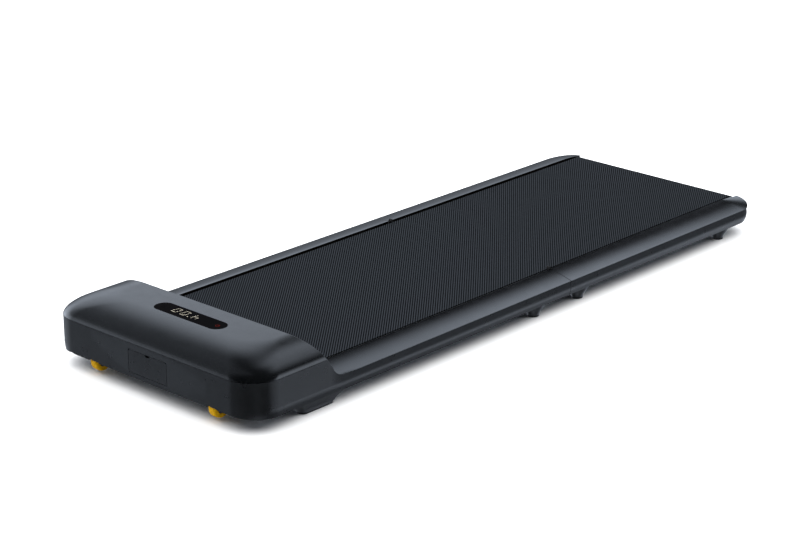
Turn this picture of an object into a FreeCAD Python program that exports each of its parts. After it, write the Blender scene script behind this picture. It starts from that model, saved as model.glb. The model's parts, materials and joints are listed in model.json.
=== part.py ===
import FreeCAD
import Part
import math
import os

os.makedirs("parts", exist_ok=True)
V = FreeCAD.Vector

# Overall sizes: the width follows from the belt and the rails beside it
front_length = 830.0
rear_length = 615.0
belt_width = 400.0
belt_gap = 7.5
rail_width = 52.0
head_height = 125.0

# Head, measured back from its front wall
head_top_depth = 158.0
head_split_depth = 174.5
split_height = 93.0
head_corner = 60.0
crown_run = 80.0
crown_start = 8.0
crown_bands = 12
shell_wall = 2.5
sweep_drop = 26.0
sweep_run = 17.0
sweep_radius = 38.0
panel_gap = 2.0
floor_reach = 31.5

# Side rails
skirt_bottom = 25.0
skirt_crease = 37.5
skirt_chamfer = 5.0
flange_play = 2.5
trim_top = 66.0
trim_edge = 54.0
trim_edge_lip = 1.0
trim_wall = 2.0
trim_inset = 0.4
trim_start_gap = 1.5
seat_gap = 0.4
cheek_wall = 2.0

# Fold hinge between the two halves
fold_gap = 0.5
fold_height = 67.5
fold_eye = 3.2
fold_pin_radius = 1.8
leaf_thickness = 3.0
leaf_play = 0.3
leaf_pad_start = 14.0
leaf_pad_length = 50.0
leaf_pad_height = 11.0
leaf_pad_rise = 6.0
leaf_heel = 0.6
leaf_heel_drop = 2.6

# Walking belt, deck and rollers
belt_top = 64.0
belt_thickness = 1.8
roller_radius = 15.7
roller_gap = 0.3
roller_overhang = 3.0
roller_wall = 3.2
drive_roller_distance = 163.0
axle_radius = 6.0
axle_clearance = 1.0
bearing_width = 12.0
bearing_inset = 2.0
running_fit = 0.05
deck_thickness = 12.0
deck_edge = 1.0
deck_roller_gap = 7.0
deck_fold_gap = 2.0
cushion_height = 4.0
cushion_length = 36.0
cushion_width = 20.0
cushion_spacing = 100.0
cushions_across = 4

# Frame
tube_play = 0.5
tube_width = 25.0
tube_top = 50.0
tube_wall = 1.5
tube_fold_gap = 4.5
tube_roller_gap = 5.0
tube_tail_gap = 5.0
cross_width = 30.0
cross_height = 14.0
cross_fold_inset = 90.0
cross_end_inset = 32.0
cross_count = 3
plate_thickness = 4.0
plate_front = 60.0
plate_rise = 8.0
plate_half_top = 23.0
plate_overlap = 66.0
pan_thickness = 1.0
pan_lap = 5.0
pan_tail_gap = 2.0
pan_head_lap = 6.0
pan_rib_half = 150.0
pan_rib_width = 16.0
pan_rib_height = 1.0
pan_rib_count = 4
screw_rows = 4
pan_screw_radius = 1.6
pan_screw_head = 3.2

# Rear roller adjusters
bracket_gap = 1.5
bracket_width = 16.0
bracket_back = 5.0
bracket_rise = 2.0
tongue_length = 24.0
screw_radius = 4.0
screw_head_radius = 5.8
screw_head_length = 4.0
screw_socket = 3.2
screw_socket_depth = 2.5
screw_hole_play = 1.2
axle_slot_play = 2.0

# Feet
foot_inset = 28.5
foot_pad_radius = 11.5
foot_pad_height = 3.0
foot_flare = 11.0
foot_profile = ((0.0, 0.0), (0.25, 0.12), (0.5, 0.42), (0.75, 0.75), (1.0, 1.0))
long_foot_lead = 44.0
long_foot_length = 80.0
long_foot_slope = 28.0
fold_foot_front = 77.5
fold_foot_rear = 54.5
tail_foot_inset = 98.5

# Transport wheels
wheel_inset = 108.5
wheel_distance = 25.0
wheel_height = 25.5
wheel_radius = 20.0
wheel_width = 16.0
wheel_rounding = 4.0
wheel_axle_radius = 3.0
wheel_arch_radius = 14.5
wheel_arch_rise = 8.0
wheel_slot_play = 1.5
fork_wall = 3.0
fork_play = 0.6
fork_front = 9.0
fork_back = 12.0
fork_drop = 8.0
fork_headroom = 2.0
fork_wing = 8.0

# Display in the top cover
display_length = 170.0
display_width = 37.0
display_distance = 102.0
display_play = 0.2
lens_flange = 3.0
lens_flange_height = 1.5
digit_width = 14.0
digit_length = 20.0
digit_pitch = 17.0
digit_depth = 5.0
display_board_length = 140.0
display_board_width = 26.0
receiver_radius = 4.0
receiver_across = 62.0
board_thickness = 1.6

# Socket door and pocket in the front wall
door_width = 97.0
door_bottom = 39.0
door_top = 80.5
door_corner = 4.0
door_gap = 0.7
door_axis_depth = 4.2
door_swing_gap = 0.4
door_pin_radius = 1.2
door_barrel_radius = 2.4
door_barrel_length = 12.0
door_barrel_pitch = 38.0
door_notch_width = 14.0
door_notch_depth = 3.5
pocket_depth = 34.0
pocket_wall = 2.0
pocket_side_play = 1.0
pocket_top_play = 2.0
pocket_floor_drop = 4.0
pocket_relief = 3.2
socket_height = 60.0
inlet_across = -22.0
inlet_half = (14.0, 10.0)
inlet_flange = 2.0
inlet_depth = 22.0
inlet_wall = 1.7
inlet_mouth_depth = 17.0
blade_size = (2.0, 13.0, 4.0)
blade_spread = 7.0
blade_stagger = 2.0
switch_across = 24.0
switch_half = (8.0, 11.0)
switch_flange = 2.0
switch_depth = 20.0
rocker_radius = 8.0
rocker_half = 6.0
rocker_play = 0.4
rocker_tilt = 10.0
rocker_nose = 4.0
rocker_pin_radius = 1.5
rocker_pin_length = 1.5

# Drive
motor_distance = 80.0
motor_height = 78.0
motor_radius = 38.0
motor_length = 110.0
motor_wall = 4.0
motor_end_cap = 6.0
motor_end_room = 12.0
motor_pulley_gap = 8.0
motor_shaft_radius = 5.0
stator_bore = 26.5
core_gap = 0.8
vent_count = 8
vent_width = 6.0
vent_start = 20.0
vent_end = 29.0
fan_gap = 4.0
fan_width = 14.0
fan_radius = 30.0
fan_hub = 11.0
fan_blades = 9
fan_sheet = 2.0
motor_pulley_radius = 7.5
drive_pulley_radius = 14.5
pulley_width = 20.0
pulley_collar = 5.0
groove_count = 5
groove_pitch = 3.0
groove_depth = 1.5
groove_half = 1.2
drive_belt_thickness = 2.6
drive_belt_width = 16.0
tray_front = 57.0
tray_roller_gap = 7.0
tray_thickness = 2.0
saddle_half = 22.0
saddle_inset = 10.0
saddle_top_drop = 24.0

# Control board
board_length = 150.0
board_side_gap = 10.0
board_front_gap = 6.0
board_depth = 71.0
board_lift = 24.0
board_post_radius = 3.0
sink_base = 4.0
fin_height = 13.0
fin_thickness = 2.0
fin_pitch = 8.0
fin_count = 15
fin_margin = 16.0
capacitor_radius = 8.0
capacitor_height = 26.0
capacitor_pitch = 20.0
capacitor_count = 3
relay_size = (30.0, 22.0, 20.0)
choke_size = (58.0, 22.0, 12.0)
lead_radius = 2.5
lead_bend = 8.0
lead_drop = 14.0
ribbon_radius = 1.8
ribbon_bend = 6.0

# Lengths that only carry a cut past the surface it cuts
over = 1.0
far = 200.0

# Places worked out from the sizes
length = front_length + rear_length
half_width = belt_width / 2 + belt_gap + rail_width
front_y = -length / 2
tail_y = length / 2


def at(distance):
    return front_y + distance


fold_y = at(front_length)
front_end = fold_y - fold_gap
rear_start = fold_y + fold_gap
floor_top = skirt_bottom + shell_wall
belt_half = belt_width / 2
trim_inner = belt_half + belt_gap
tube_inner = trim_inner - tube_play
tube_outer = tube_inner + tube_width
flange_inner = belt_half + flange_play
deck_top = belt_top - belt_thickness
wrap_inner = roller_radius + roller_gap
wrap_outer = wrap_inner + belt_thickness
axle_z = belt_top - wrap_outer
drive_y = at(drive_roller_distance)
rear_y = tail_y - wrap_outer
roller_half = belt_half + roller_overhang
tail_centre_y = tail_y - rail_width
skirt_top = trim_edge - seat_gap
cross_top = deck_top - deck_thickness - cushion_height
tray_top = floor_top + tray_thickness
tray_back_y = drive_y - wrap_outer - tray_roller_gap
head_floor_y = at(head_split_depth) + floor_reach
foot_across = half_width - foot_inset
wheel_across = half_width - wheel_inset
panel_y = front_y + shell_wall + pocket_depth
motor_y = at(motor_distance)
pulley_right = -roller_half - pulley_collar
pulley_left = pulley_right - pulley_width
motor_left = pulley_right + motor_pulley_gap
motor_right = motor_left + motor_length
fan_left = motor_right + fan_gap
fan_right = fan_left + fan_width
lens_bottom = head_height - shell_wall - lens_flange_height
display_board_top = lens_bottom - digit_depth
door_axis_y = front_y + door_axis_depth
door_axis_z = door_bottom + door_axis_depth
tube_front = drive_y + wrap_inner + tube_roller_gap
tube_rear_end = tail_centre_y - tube_tail_gap
bracket_x0 = trim_inner + cheek_wall + bracket_gap
bracket_x1 = bracket_x0 + bracket_width
tension_x = (bracket_x0 + bracket_x1) / 2
fork_reach = wheel_width / 2 + fork_play
board_x1 = tube_outer - board_side_gap
board_x0 = board_x1 - board_length
board_y0 = at(tray_front) + board_front_gap
board_y1 = board_y0 + board_depth
board_z = tray_top + board_lift
board_top = board_z + board_thickness


# Shape helpers
def box(x0, x1, y0, y1, z0, z1):
    return Part.makeBox(x1 - x0, y1 - y0, z1 - z0, V(x0, y0, z0))


def rod(x0, x1, y, z, radius):
    return Part.makeCylinder(radius, x1 - x0, V(x0, y, z), V(1, 0, 0))


def post(x, y, z0, z1, radius):
    return Part.makeCylinder(radius, z1 - z0, V(x, y, z0), V(0, 0, 1))


def bolt_y(x, z, y0, y1, radius):
    return Part.makeCylinder(radius, y1 - y0, V(x, y0, z), V(0, 1, 0))


def mirrored(shape):
    return shape.mirror(V(0, 0, 0), V(1, 0, 0))


def group(*shapes):
    return Part.makeCompound(list(shapes))


def pair(shape):
    return group(shape, mirrored(shape))


def joined(first, *others):
    whole = first
    for other in others:
        whole = whole.fuse(other)
    return whole.removeSplitter()


def without(shape, *cutters):
    for cutter in cutters:
        shape = shape.cut(cutter)
    return shape


def on_yz(x):
    return lambda y, z: V(x, y, z)


def on_xz(y):
    return lambda x, z: V(x, y, z)


def on_xy(z):
    return lambda x, y: V(x, y, z)


# A closed wire through flat points, where a step of two points is an arc through the first to the second
def outline(place, start, *steps):
    edges = []
    here = start
    for step in steps + (start,):
        if isinstance(step[0], tuple):
            middle, end = step
            edges.append(Part.Arc(place(*here), place(*middle), place(*end)).toShape())
            here = end
        elif math.dist(here, step) > 1e-6:
            edges.append(Part.LineSegment(place(*here), place(*step)).toShape())
            here = step
    return Part.Wire(edges)


def prism_x(x0, x1, start, *steps):
    return Part.Face(outline(on_yz(x0), start, *steps)).extrude(V(x1 - x0, 0, 0))


def prism_y(y0, y1, start, *steps):
    return Part.Face(outline(on_xz(y0), start, *steps)).extrude(V(0, y1 - y0, 0))


def prism_z(wire, height):
    return Part.Face(wire).extrude(V(0, 0, height))


def plan_wire(inset, corner, y_end, z, narrower=0.0):
    side = half_width - inset - narrower
    start = front_y + inset
    bend = corner * (1 - math.sqrt(0.5))
    return outline(
        on_xy(z),
        (-side, y_end),
        (-side, start + corner),
        ((-side + bend, start + bend), (-side + corner, start)),
        (side - corner, start),
        ((side - bend, start + bend), (side, start + corner)),
        (side, y_end),
    )


def stadium_wire(place, middle, half_length, radius):
    x, y = middle
    run = half_length - radius
    return outline(
        place,
        (x - run, y - radius),
        (x + run, y - radius),
        ((x + half_length, y), (x + run, y + radius)),
        (x - run, y + radius),
        ((x - half_length, y), (x - run, y - radius)),
    )


# A tube along straight runs joined by tangent arcs
def cable(radius, bend, *points):
    corners = [V(*point) for point in points]
    edges = []
    here = corners[0]
    for before, corner, after in zip(corners, corners[1:], corners[2:]):
        inward = (before - corner).normalize()
        onward = (after - corner).normalize()
        half_angle = inward.getAngle(onward) / 2
        reach = bend / math.tan(half_angle)
        enter = corner + inward * reach
        leave = corner + onward * reach
        bisector = (inward + onward).normalize()
        nearest = corner + bisector * (bend / math.sin(half_angle) - bend)
        edges.append(Part.LineSegment(here, enter).toShape())
        edges.append(Part.Arc(enter, nearest, leave).toShape())
        here = leave
    edges.append(Part.LineSegment(here, corners[-1]).toShape())
    path = Part.Wire(edges)
    ring = Part.Wire([Part.makeCircle(radius, corners[0], corners[1] - corners[0])])
    return path.makePipeShell([ring], True, False)


# Head shells
def behind_rear_face(offset):
    lean = (head_split_depth - head_top_depth) / (head_height - split_height)
    top = head_height + far
    low = split_height - far
    start = at(head_split_depth) - offset
    back = start + lean * (split_height - low) + far
    return prism_x(
        -half_width - over,
        half_width + over,
        (start + lean * (split_height - low), low),
        (start + lean * (split_height - top), top),
        (back, top),
        (back, low),
    )


# The crown is an elliptic arc all round, in flat bands, with its wall carried down by drop
def crown_solid(inset, drop):
    corner = head_corner - inset
    rise = head_height - split_height - inset
    end_y = at(head_split_depth) + over
    start = math.radians(crown_start)
    wires = []
    for k in range(crown_bands + 1):
        angle = start + (math.pi / 2 - start) * k / crown_bands
        step_in = inset + (crown_run - inset) * (1 - math.cos(angle) / math.cos(start))
        share_up = (math.sin(angle) - math.sin(start)) / (1 - math.sin(start))
        wires.append(plan_wire(step_in, corner, end_y, split_height + rise * share_up))
    if drop > 0:
        wires.insert(0, plan_wire(inset, corner, end_y, split_height - drop))
    return Part.makeLoft(wires, True, True)


def display_stadium(grow, z):
    middle = (0, at(display_distance))
    return stadium_wire(on_xy(z), middle, display_length / 2 + grow, display_width / 2 + grow)


def head_top_cover():
    outer = crown_solid(0, 0).cut(behind_rear_face(0))
    inner = crown_solid(shell_wall, over).cut(behind_rear_face(shell_wall))
    window = prism_z(display_stadium(display_play, lens_bottom), far)
    return without(outer, inner, window)


def sweep_corners():
    slope = math.atan2(sweep_drop, sweep_run)
    start = (at(head_split_depth), split_height)
    meet_y = start[0] + (split_height - skirt_top) / math.tan(slope)
    reach = sweep_radius * math.tan(slope / 2)
    upper = (meet_y - reach * math.cos(slope), skirt_top + reach * math.sin(slope))
    lower = (meet_y + reach, skirt_top)
    dip = sweep_radius * (1 - math.cos(slope / 2))
    middle = (lower[0] - sweep_radius * math.sin(slope / 2), skirt_top + dip)
    return start, upper, middle, lower


def above_sweep():
    start, upper, middle, lower = sweep_corners()
    return prism_x(
        -half_width - over,
        half_width + over,
        (start[0], split_height + over),
        start,
        upper,
        (middle, lower),
        (fold_y + over, skirt_top),
        (fold_y + over, split_height + over),
    )


# The chamfer runs along the sides and fades out round the head's corners
def housing_body(inset, y_end, bottom):
    corner = head_corner - inset
    wall = prism_z(plan_wire(inset, corner, y_end, skirt_crease), split_height - skirt_crease)
    chamfer = Part.makeLoft([
        plan_wire(inset, corner, y_end, bottom, skirt_chamfer),
        plan_wire(inset, corner, y_end, skirt_crease),
    ], True, True)
    return wall.fuse(chamfer)


def rear_panel():
    lean = sweep_run / sweep_drop
    low = trim_top + panel_gap
    start = at(head_split_depth)
    foot = start + lean * (split_height - low)
    side = half_width - shell_wall
    return prism_x(
        -side,
        side,
        (start, split_height),
        (foot, low),
        (foot - shell_wall, low),
        (start - shell_wall, split_height),
    )


def wheel_openings(x):
    y = at(wheel_distance)
    arch_z = skirt_bottom + wheel_arch_rise - wheel_arch_radius
    arch = bolt_y(x, arch_z, front_y - over, y, wheel_arch_radius)
    reach = fork_reach + fork_wall + seat_gap
    along = wheel_radius + wheel_slot_play
    slot = box(x - reach, x + reach, y - along, y + along, skirt_bottom - over, floor_top + over)
    return arch.fuse(slot)


def front_lower_housing():
    shell = housing_body(0, front_end, skirt_bottom)
    hollow = housing_body(shell_wall, front_end - shell_wall, floor_top)
    between_arms = box(-flange_inner, flange_inner, head_floor_y, fold_y, 0, head_height)
    rim = plan_wire(shell_wall, head_corner - shell_wall, front_end - shell_wall, split_height)
    shell = without(shell, hollow, prism_z(rim, over), above_sweep(), between_arms).fuse(rear_panel())
    half = door_width / 2 + door_gap
    opening = box(-half, half, front_y - over, front_y + shell_wall + over, door_bottom, door_top + door_gap)
    swing = math.hypot(door_axis_depth, door_axis_depth) + door_swing_gap
    shell = without(shell, opening, rod(-half, half, door_axis_y, door_axis_z, swing))
    return without(shell, wheel_openings(wheel_across), wheel_openings(-wheel_across)).removeSplitter()


# Side rails
def crown_middle(top, inner_x, edge_x, edge_z):
    turn = 2 * math.atan2(top - edge_z, edge_x - inner_x)
    radius = (edge_x - inner_x) / math.sin(turn)
    return (inner_x + radius * math.sin(turn / 2), top - radius * (1 - math.cos(turn / 2)))


def trim_face(y):
    edge_x = half_width - trim_inset
    edge_z = skirt_top + trim_edge_lip
    under_x = trim_inner + trim_wall
    under_top = trim_top - trim_wall
    return Part.Face(outline(
        on_xz(y),
        (trim_inner, trim_top),
        (crown_middle(trim_top, trim_inner, edge_x, edge_z), (edge_x, edge_z)),
        (edge_x, skirt_top),
        (edge_x - trim_wall, skirt_top),
        (crown_middle(under_top, under_x, edge_x - trim_wall, skirt_top), (under_x, under_top)),
        (under_x, tube_top),
        (trim_inner, tube_top),
    ))


# Room for the closed ends of the rails under the trims
def trim_end_relief(towards):
    near = fold_y
    deep = fold_y + towards * (fold_gap + shell_wall + seat_gap)
    reach = trim_inner + trim_wall + seat_gap
    return box(0, reach, min(near, deep), max(near, deep), 0, skirt_top + seat_gap)


def front_trim():
    start_y = drive_y + wrap_outer + trim_start_gap
    trim = trim_face(start_y).extrude(V(0, front_end - start_y, 0))
    sweep_end = sweep_corners()[3][0]
    cheek_x = half_width - shell_wall - seat_gap
    cheek = box(cheek_x, half_width + over, start_y - over, sweep_end + over, 0, head_height)
    return without(trim, cheek, trim_end_relief(-1))


def tail_turn(face):
    return face.revolve(V(trim_inner, tail_centre_y, 0), V(0, 0, 1), 90)


def rear_trim():
    straight = trim_face(rear_start).extrude(V(0, tail_centre_y - rear_start, 0))
    return joined(straight, tail_turn(trim_face(tail_centre_y))).cut(trim_end_relief(1))


def skirt_outside(inner_x):
    return [
        (half_width, skirt_top),
        (half_width, skirt_crease),
        (half_width - skirt_chamfer, skirt_bottom),
        (inner_x, skirt_bottom),
    ]


def skirt_face(y, inner_x):
    inside = half_width - shell_wall
    back = [
        (inner_x, floor_top),
        (inside - skirt_chamfer, floor_top),
        (inside, skirt_crease),
        (inside, skirt_top),
    ]
    return Part.Face(outline(on_xz(y), *skirt_outside(inner_x), *back))


def skirt_block(y):
    return Part.Face(outline(on_xz(y), *skirt_outside(trim_inner), (trim_inner, skirt_top)))


def rear_skirt():
    straight = skirt_face(rear_start, flange_inner).extrude(V(0, tail_centre_y - rear_start, 0))
    turn = tail_turn(skirt_face(tail_centre_y, trim_inner))
    cheek_start = tail_centre_y + trim_wall + seat_gap
    cheek_room = box(trim_inner, trim_inner + cheek_wall, cheek_start, tail_y, 0, head_height)
    cheek = tail_turn(skirt_block(tail_centre_y)).common(cheek_room)
    end_wall = skirt_block(rear_start).extrude(V(0, shell_wall, 0))
    axle_hole = rod(trim_inner - over, bracket_x0, rear_y, axle_z, axle_radius + axle_clearance)
    screw_hole = bolt_y(tension_x, axle_z, rear_y, tail_y + over, screw_head_radius + screw_hole_play)
    return without(joined(straight, turn, cheek, end_wall), axle_hole, screw_hole)


# Frame
def side_tube(y0, y1):
    outer = box(tube_inner, tube_outer, y0, y1, floor_top, tube_top)
    x0 = tube_inner + tube_wall
    x1 = tube_outer - tube_wall
    return outer.cut(box(x0, x1, y0, y1, floor_top + tube_wall, tube_top - tube_wall))


def spread(first, last, count):
    return [first + (last - first) * k / (count - 1) for k in range(count)]


front_cross_places = spread(tube_front + cross_end_inset, fold_y - cross_fold_inset, cross_count)
rear_cross_places = spread(fold_y + cross_fold_inset, tube_rear_end - cross_end_inset, cross_count)


def cross_members(places):
    low = cross_top - cross_height
    tubes = []
    for y in places:
        near = y - cross_width / 2
        back = y + cross_width / 2
        outer = box(-tube_inner, tube_inner, near, back, low, cross_top)
        inner = box(-tube_inner, tube_inner, near + tube_wall, back - tube_wall,
                    low + tube_wall, cross_top - tube_wall)
        tubes.append(outer.cut(inner))
    return group(*tubes)


def deck_cushions(places):
    reach = cushion_spacing * (cushions_across - 1) / 2
    pads = []
    half = cushion_length / 2
    side = cushion_width / 2
    for y in places:
        for x in spread(-reach, reach, cushions_across):
            pads.append(box(x - half, x + half, y - side, y + side, cross_top, cross_top + cushion_height))
    return group(*pads)


def deck_board(y0, y1):
    return box(-belt_half + deck_edge, belt_half - deck_edge, y0, y1, deck_top - deck_thickness, deck_top)


def belt_half_loop(y_end, y_roller, towards):
    low = axle_z - wrap_outer
    return prism_x(
        -belt_half,
        belt_half,
        (y_end, belt_top),
        (y_roller, belt_top),
        ((y_roller + towards * wrap_outer, axle_z), (y_roller, low)),
        (y_end, low),
        (y_end, low + belt_thickness),
        (y_roller, low + belt_thickness),
        ((y_roller + towards * wrap_inner, axle_z), (y_roller, deck_top)),
        (y_end, deck_top),
    )


def roller_tube(y):
    outer = rod(-roller_half, roller_half, y, axle_z, roller_radius)
    return outer.cut(rod(-roller_half, roller_half, y, axle_z, roller_radius - roller_wall))


def roller_bearings(y):
    end = roller_half - bearing_inset
    ring = rod(end - bearing_width, end, y, axle_z, roller_radius - roller_wall)
    return pair(ring.cut(rod(end - bearing_width, end, y, axle_z, axle_radius + running_fit)))


def drive_axle():
    reach = tube_outer + plate_thickness
    return rod(-reach, reach, drive_y, axle_z, axle_radius)


def roller_side_plate():
    y0 = at(plate_front)
    y1 = tube_front + plate_overlap
    shoulder = tube_top + plate_rise
    plate = prism_x(
        tube_outer,
        tube_outer + plate_thickness,
        (y0, floor_top),
        (y1, floor_top),
        (y1, tube_top),
        (drive_y + plate_half_top, shoulder),
        (drive_y - plate_half_top, shoulder),
        (y0, tube_top),
    )
    return plate.cut(rod(tube_outer, tube_outer + plate_thickness, drive_y, axle_z, axle_radius))


def rear_axle_half():
    return bracket_x1 - axle_clearance


def rear_axle_bracket():
    back = rear_y + axle_radius + bracket_back
    block = box(bracket_x0, bracket_x1, tube_rear_end, back, skirt_crease, tube_top + bracket_rise)
    tongue = box(tube_inner + tube_wall, tube_outer - tube_wall, tube_rear_end - tongue_length, tube_rear_end,
                 floor_top + tube_wall, tube_top - tube_wall)
    slot = box(bracket_x0, rear_axle_half(), rear_y - axle_radius, rear_y + axle_radius + axle_slot_play,
               axle_z - axle_radius, axle_z + axle_radius)
    screw_path = bolt_y(tension_x, axle_z, rear_y, back, screw_radius)
    return without(joined(block, tongue), slot, screw_path)


def tension_screw():
    tip = rear_y + axle_radius
    seat = tip + bracket_back
    shank = bolt_y(tension_x, axle_z, tip, seat, screw_radius)
    head = bolt_y(tension_x, axle_z, seat, seat + screw_head_length, screw_head_radius)
    corners = []
    for k in range(6):
        turn = math.radians(60 * k)
        corners.append((tension_x + screw_socket * math.cos(turn), axle_z + screw_socket * math.sin(turn)))
    bottom = seat + screw_head_length - screw_socket_depth
    return joined(shank, head).cut(prism_y(bottom, bottom + far, *corners))


def pan_and_screws(y0, y1):
    reach = flange_inner + pan_lap
    top = skirt_bottom
    low = top - pan_thickness
    pan = box(-reach, reach, y0, y1, low, top)
    for k in range(pan_rib_count):
        y = y0 + (y1 - y0) * (k + 1) / (pan_rib_count + 1)
        pan = pan.fuse(box(-pan_rib_half, pan_rib_half, y - pan_rib_width / 2, y + pan_rib_width / 2,
                           low - pan_rib_height, low))
    screws = []
    for k in range(screw_rows):
        y = y0 + (y1 - y0) * (k + 0.5) / screw_rows
        x = flange_inner + pan_lap / 2
        shank = post(x, y, low, top, pan_screw_radius)
        pan = without(pan, shank, mirrored(shank))
        screw = joined(shank, post(x, y, low - pan_screw_radius, low, pan_screw_head))
        screws += [screw, mirrored(screw)]
    return pan.removeSplitter(), group(*screws)


# Fold hinge: the front leaf's eye is next to the rail, the rear leaf's eye next to the belt
front_eye = (tube_inner - leaf_thickness, tube_inner)
rear_eye = (front_eye[0] - leaf_play - leaf_thickness, front_eye[0] - leaf_play)


def fold_leaf(towards, x0, x1):
    near = fold_y + towards * leaf_pad_start
    back = near + towards * leaf_pad_length
    low = floor_top + leaf_pad_rise
    high = low + leaf_pad_height
    arm = prism_x(
        x0,
        x1,
        (fold_y - towards * leaf_heel, fold_height - leaf_heel_drop),
        (near, low),
        (back, low),
        (back, high),
        (near, high),
        (fold_y + towards * fold_eye, fold_height),
    )
    pad = box(x0, tube_inner, min(near, back), max(near, back), low, high)
    eye = rod(x0, x1, fold_y, fold_height, fold_eye)
    return joined(arm, pad, eye)


def front_leaf():
    leaf = fold_leaf(-1, *front_eye)
    return leaf.cut(rod(*front_eye, fold_y, fold_height, fold_pin_radius))


def rear_leaf():
    leaf = fold_leaf(1, *rear_eye)
    return leaf.cut(rod(*rear_eye, fold_y, fold_height, fold_pin_radius + running_fit))


def fold_pin():
    return rod(rear_eye[0], front_eye[1], fold_y, fold_height, fold_pin_radius)


# Feet, whose sides flare out from the pad up to the skirt
def foot_rows():
    rows = []
    for share, flare in foot_profile:
        z = foot_pad_height + (skirt_bottom - foot_pad_height) * share
        rows.append((share, foot_pad_radius + foot_flare * flare, z))
    return rows


def round_foot(y):
    rings = [Part.Wire([Part.makeCircle(radius, V(foot_across, y, z))]) for share, radius, z in foot_rows()]
    return Part.makeLoft(rings, True, True)


def long_foot_wire(half_length, radius, z):
    def place(along, across):
        return V(foot_across + across, along, z)

    return stadium_wire(place, (long_foot_y, 0), half_length, radius)


# The long foot's ends slope evenly, so that it is boat-shaped
def long_foot():
    half = long_foot_length / 2
    wires = [long_foot_wire(half + long_foot_slope * share, radius, z) for share, radius, z in foot_rows()]
    return Part.makeLoft(wires, True, True)


def long_foot_pad():
    return prism_z(long_foot_wire(long_foot_length / 2, foot_pad_radius, 0), foot_pad_height)


def foot_pad(y):
    return post(foot_across, y, 0, foot_pad_height, foot_pad_radius)


# Transport wheels
def transport_wheel(x):
    y = at(wheel_distance)
    left = x - wheel_width / 2
    right = x + wheel_width / 2
    tyre = rod(left, right, y, wheel_height, wheel_radius)
    rims = [edge for edge in tyre.Edges if len(edge.Vertexes) == 1]
    tyre = tyre.makeFillet(wheel_rounding, rims)
    return tyre.cut(rod(left, right, y, wheel_height, wheel_axle_radius + running_fit))


def wheel_axle(x):
    reach = fork_reach + fork_wall
    return rod(x - reach, x + reach, at(wheel_distance), wheel_height, wheel_axle_radius)


def wheel_fork(x):
    y = at(wheel_distance)
    top = wheel_height + wheel_radius + fork_headroom
    outer = fork_reach + fork_wall
    wide = outer + fork_wing
    y0 = y - fork_front
    y1 = y + fork_back
    block = box(x - outer, x + outer, y0, y1, wheel_height - fork_drop, top + fork_wall)
    wings = box(x - wide, x + wide, y0, y1, floor_top, floor_top + fork_wall)
    room = box(x - fork_reach, x + fork_reach, y - wheel_radius, y + wheel_radius, 0, top)
    axle_hole = rod(x - outer, x + outer, y, wheel_height, wheel_axle_radius)
    return without(joined(block, wings), room, axle_hole)


# Display
def display_lens():
    window = prism_z(display_stadium(0, lens_bottom), head_height - lens_bottom)
    return joined(window, prism_z(display_stadium(lens_flange, lens_bottom), lens_flange_height))


def display_board():
    y = at(display_distance)
    half_length = display_board_length / 2
    half_depth = display_board_width / 2
    board = box(-half_length, half_length, y - half_depth, y + half_depth,
                display_board_top - board_thickness, display_board_top)
    digits = []
    for k in (-1, 0, 1):
        x0 = k * digit_pitch - digit_width / 2
        y0 = y - digit_length / 2
        digits.append(box(x0, x0 + digit_width, y0, y0 + digit_length, display_board_top, lens_bottom))
    receiver = post(receiver_across, y, display_board_top, lens_bottom, receiver_radius)
    return group(board, *digits, receiver)


# Socket pocket, inlet, switch and door
pocket_half = door_width / 2 + door_gap + pocket_side_play


def panel_hole(x, half):
    return socket_block(x, half, 0, panel_y, panel_y + pocket_wall)


def socket_pocket():
    y0 = front_y + shell_wall
    low = door_bottom - pocket_floor_drop
    top = door_top + door_gap + pocket_top_play
    side = pocket_half + pocket_wall
    outer = box(-side, side, y0, panel_y + pocket_wall, low - pocket_wall, top + pocket_wall)
    inner = box(-pocket_half, pocket_half, y0, panel_y, low, top)
    relief = box(-side, side, y0, y0 + pocket_relief, low - pocket_wall, skirt_crease + seat_gap)
    pin_hole = rod(-side, side, door_axis_y, door_axis_z, door_pin_radius)
    inlet_hole = panel_hole(inlet_across, inlet_half)
    switch_hole = panel_hole(switch_across, switch_half)
    return without(outer, inner, relief, inlet_hole, switch_hole, pin_hole)


def socket_block(x, half, grow, y0, y1):
    return box(x - half[0] - grow, x + half[0] + grow, y0, y1,
               socket_height - half[1] - grow, socket_height + half[1] + grow)


def power_inlet():
    flange = socket_block(inlet_across, inlet_half, inlet_flange, panel_y - inlet_flange, panel_y)
    body = socket_block(inlet_across, inlet_half, 0, panel_y, panel_y + inlet_depth)
    back = panel_y + inlet_mouth_depth
    mouth = socket_block(inlet_across, inlet_half, -inlet_wall, panel_y - inlet_flange, back)
    wide, deep, tall = blade_size
    blades = []
    for k in (-1, 0, 1):
        x = inlet_across + k * blade_spread
        z = socket_height + blade_stagger * (1 - 2 * abs(k))
        blades.append(box(x - wide / 2, x + wide / 2, back - deep, back, z - tall / 2, z + tall / 2))
    return group(joined(flange, body).cut(mouth), *blades)


def power_switch_body():
    flange = socket_block(switch_across, switch_half, switch_flange, panel_y - switch_flange, panel_y)
    body = socket_block(switch_across, switch_half, 0, panel_y, panel_y + switch_depth)
    reach = rocker_half + rocker_play
    left = switch_across - reach
    bore = rod(left, left + 2 * reach, panel_y, socket_height, rocker_radius + rocker_play)
    pin_reach = rocker_half + rocker_pin_length + rocker_play
    pivots = rod(switch_across - pin_reach, switch_across + pin_reach, panel_y, socket_height,
                 rocker_pin_radius + running_fit)
    return without(joined(flange, body), bore, pivots)


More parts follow.
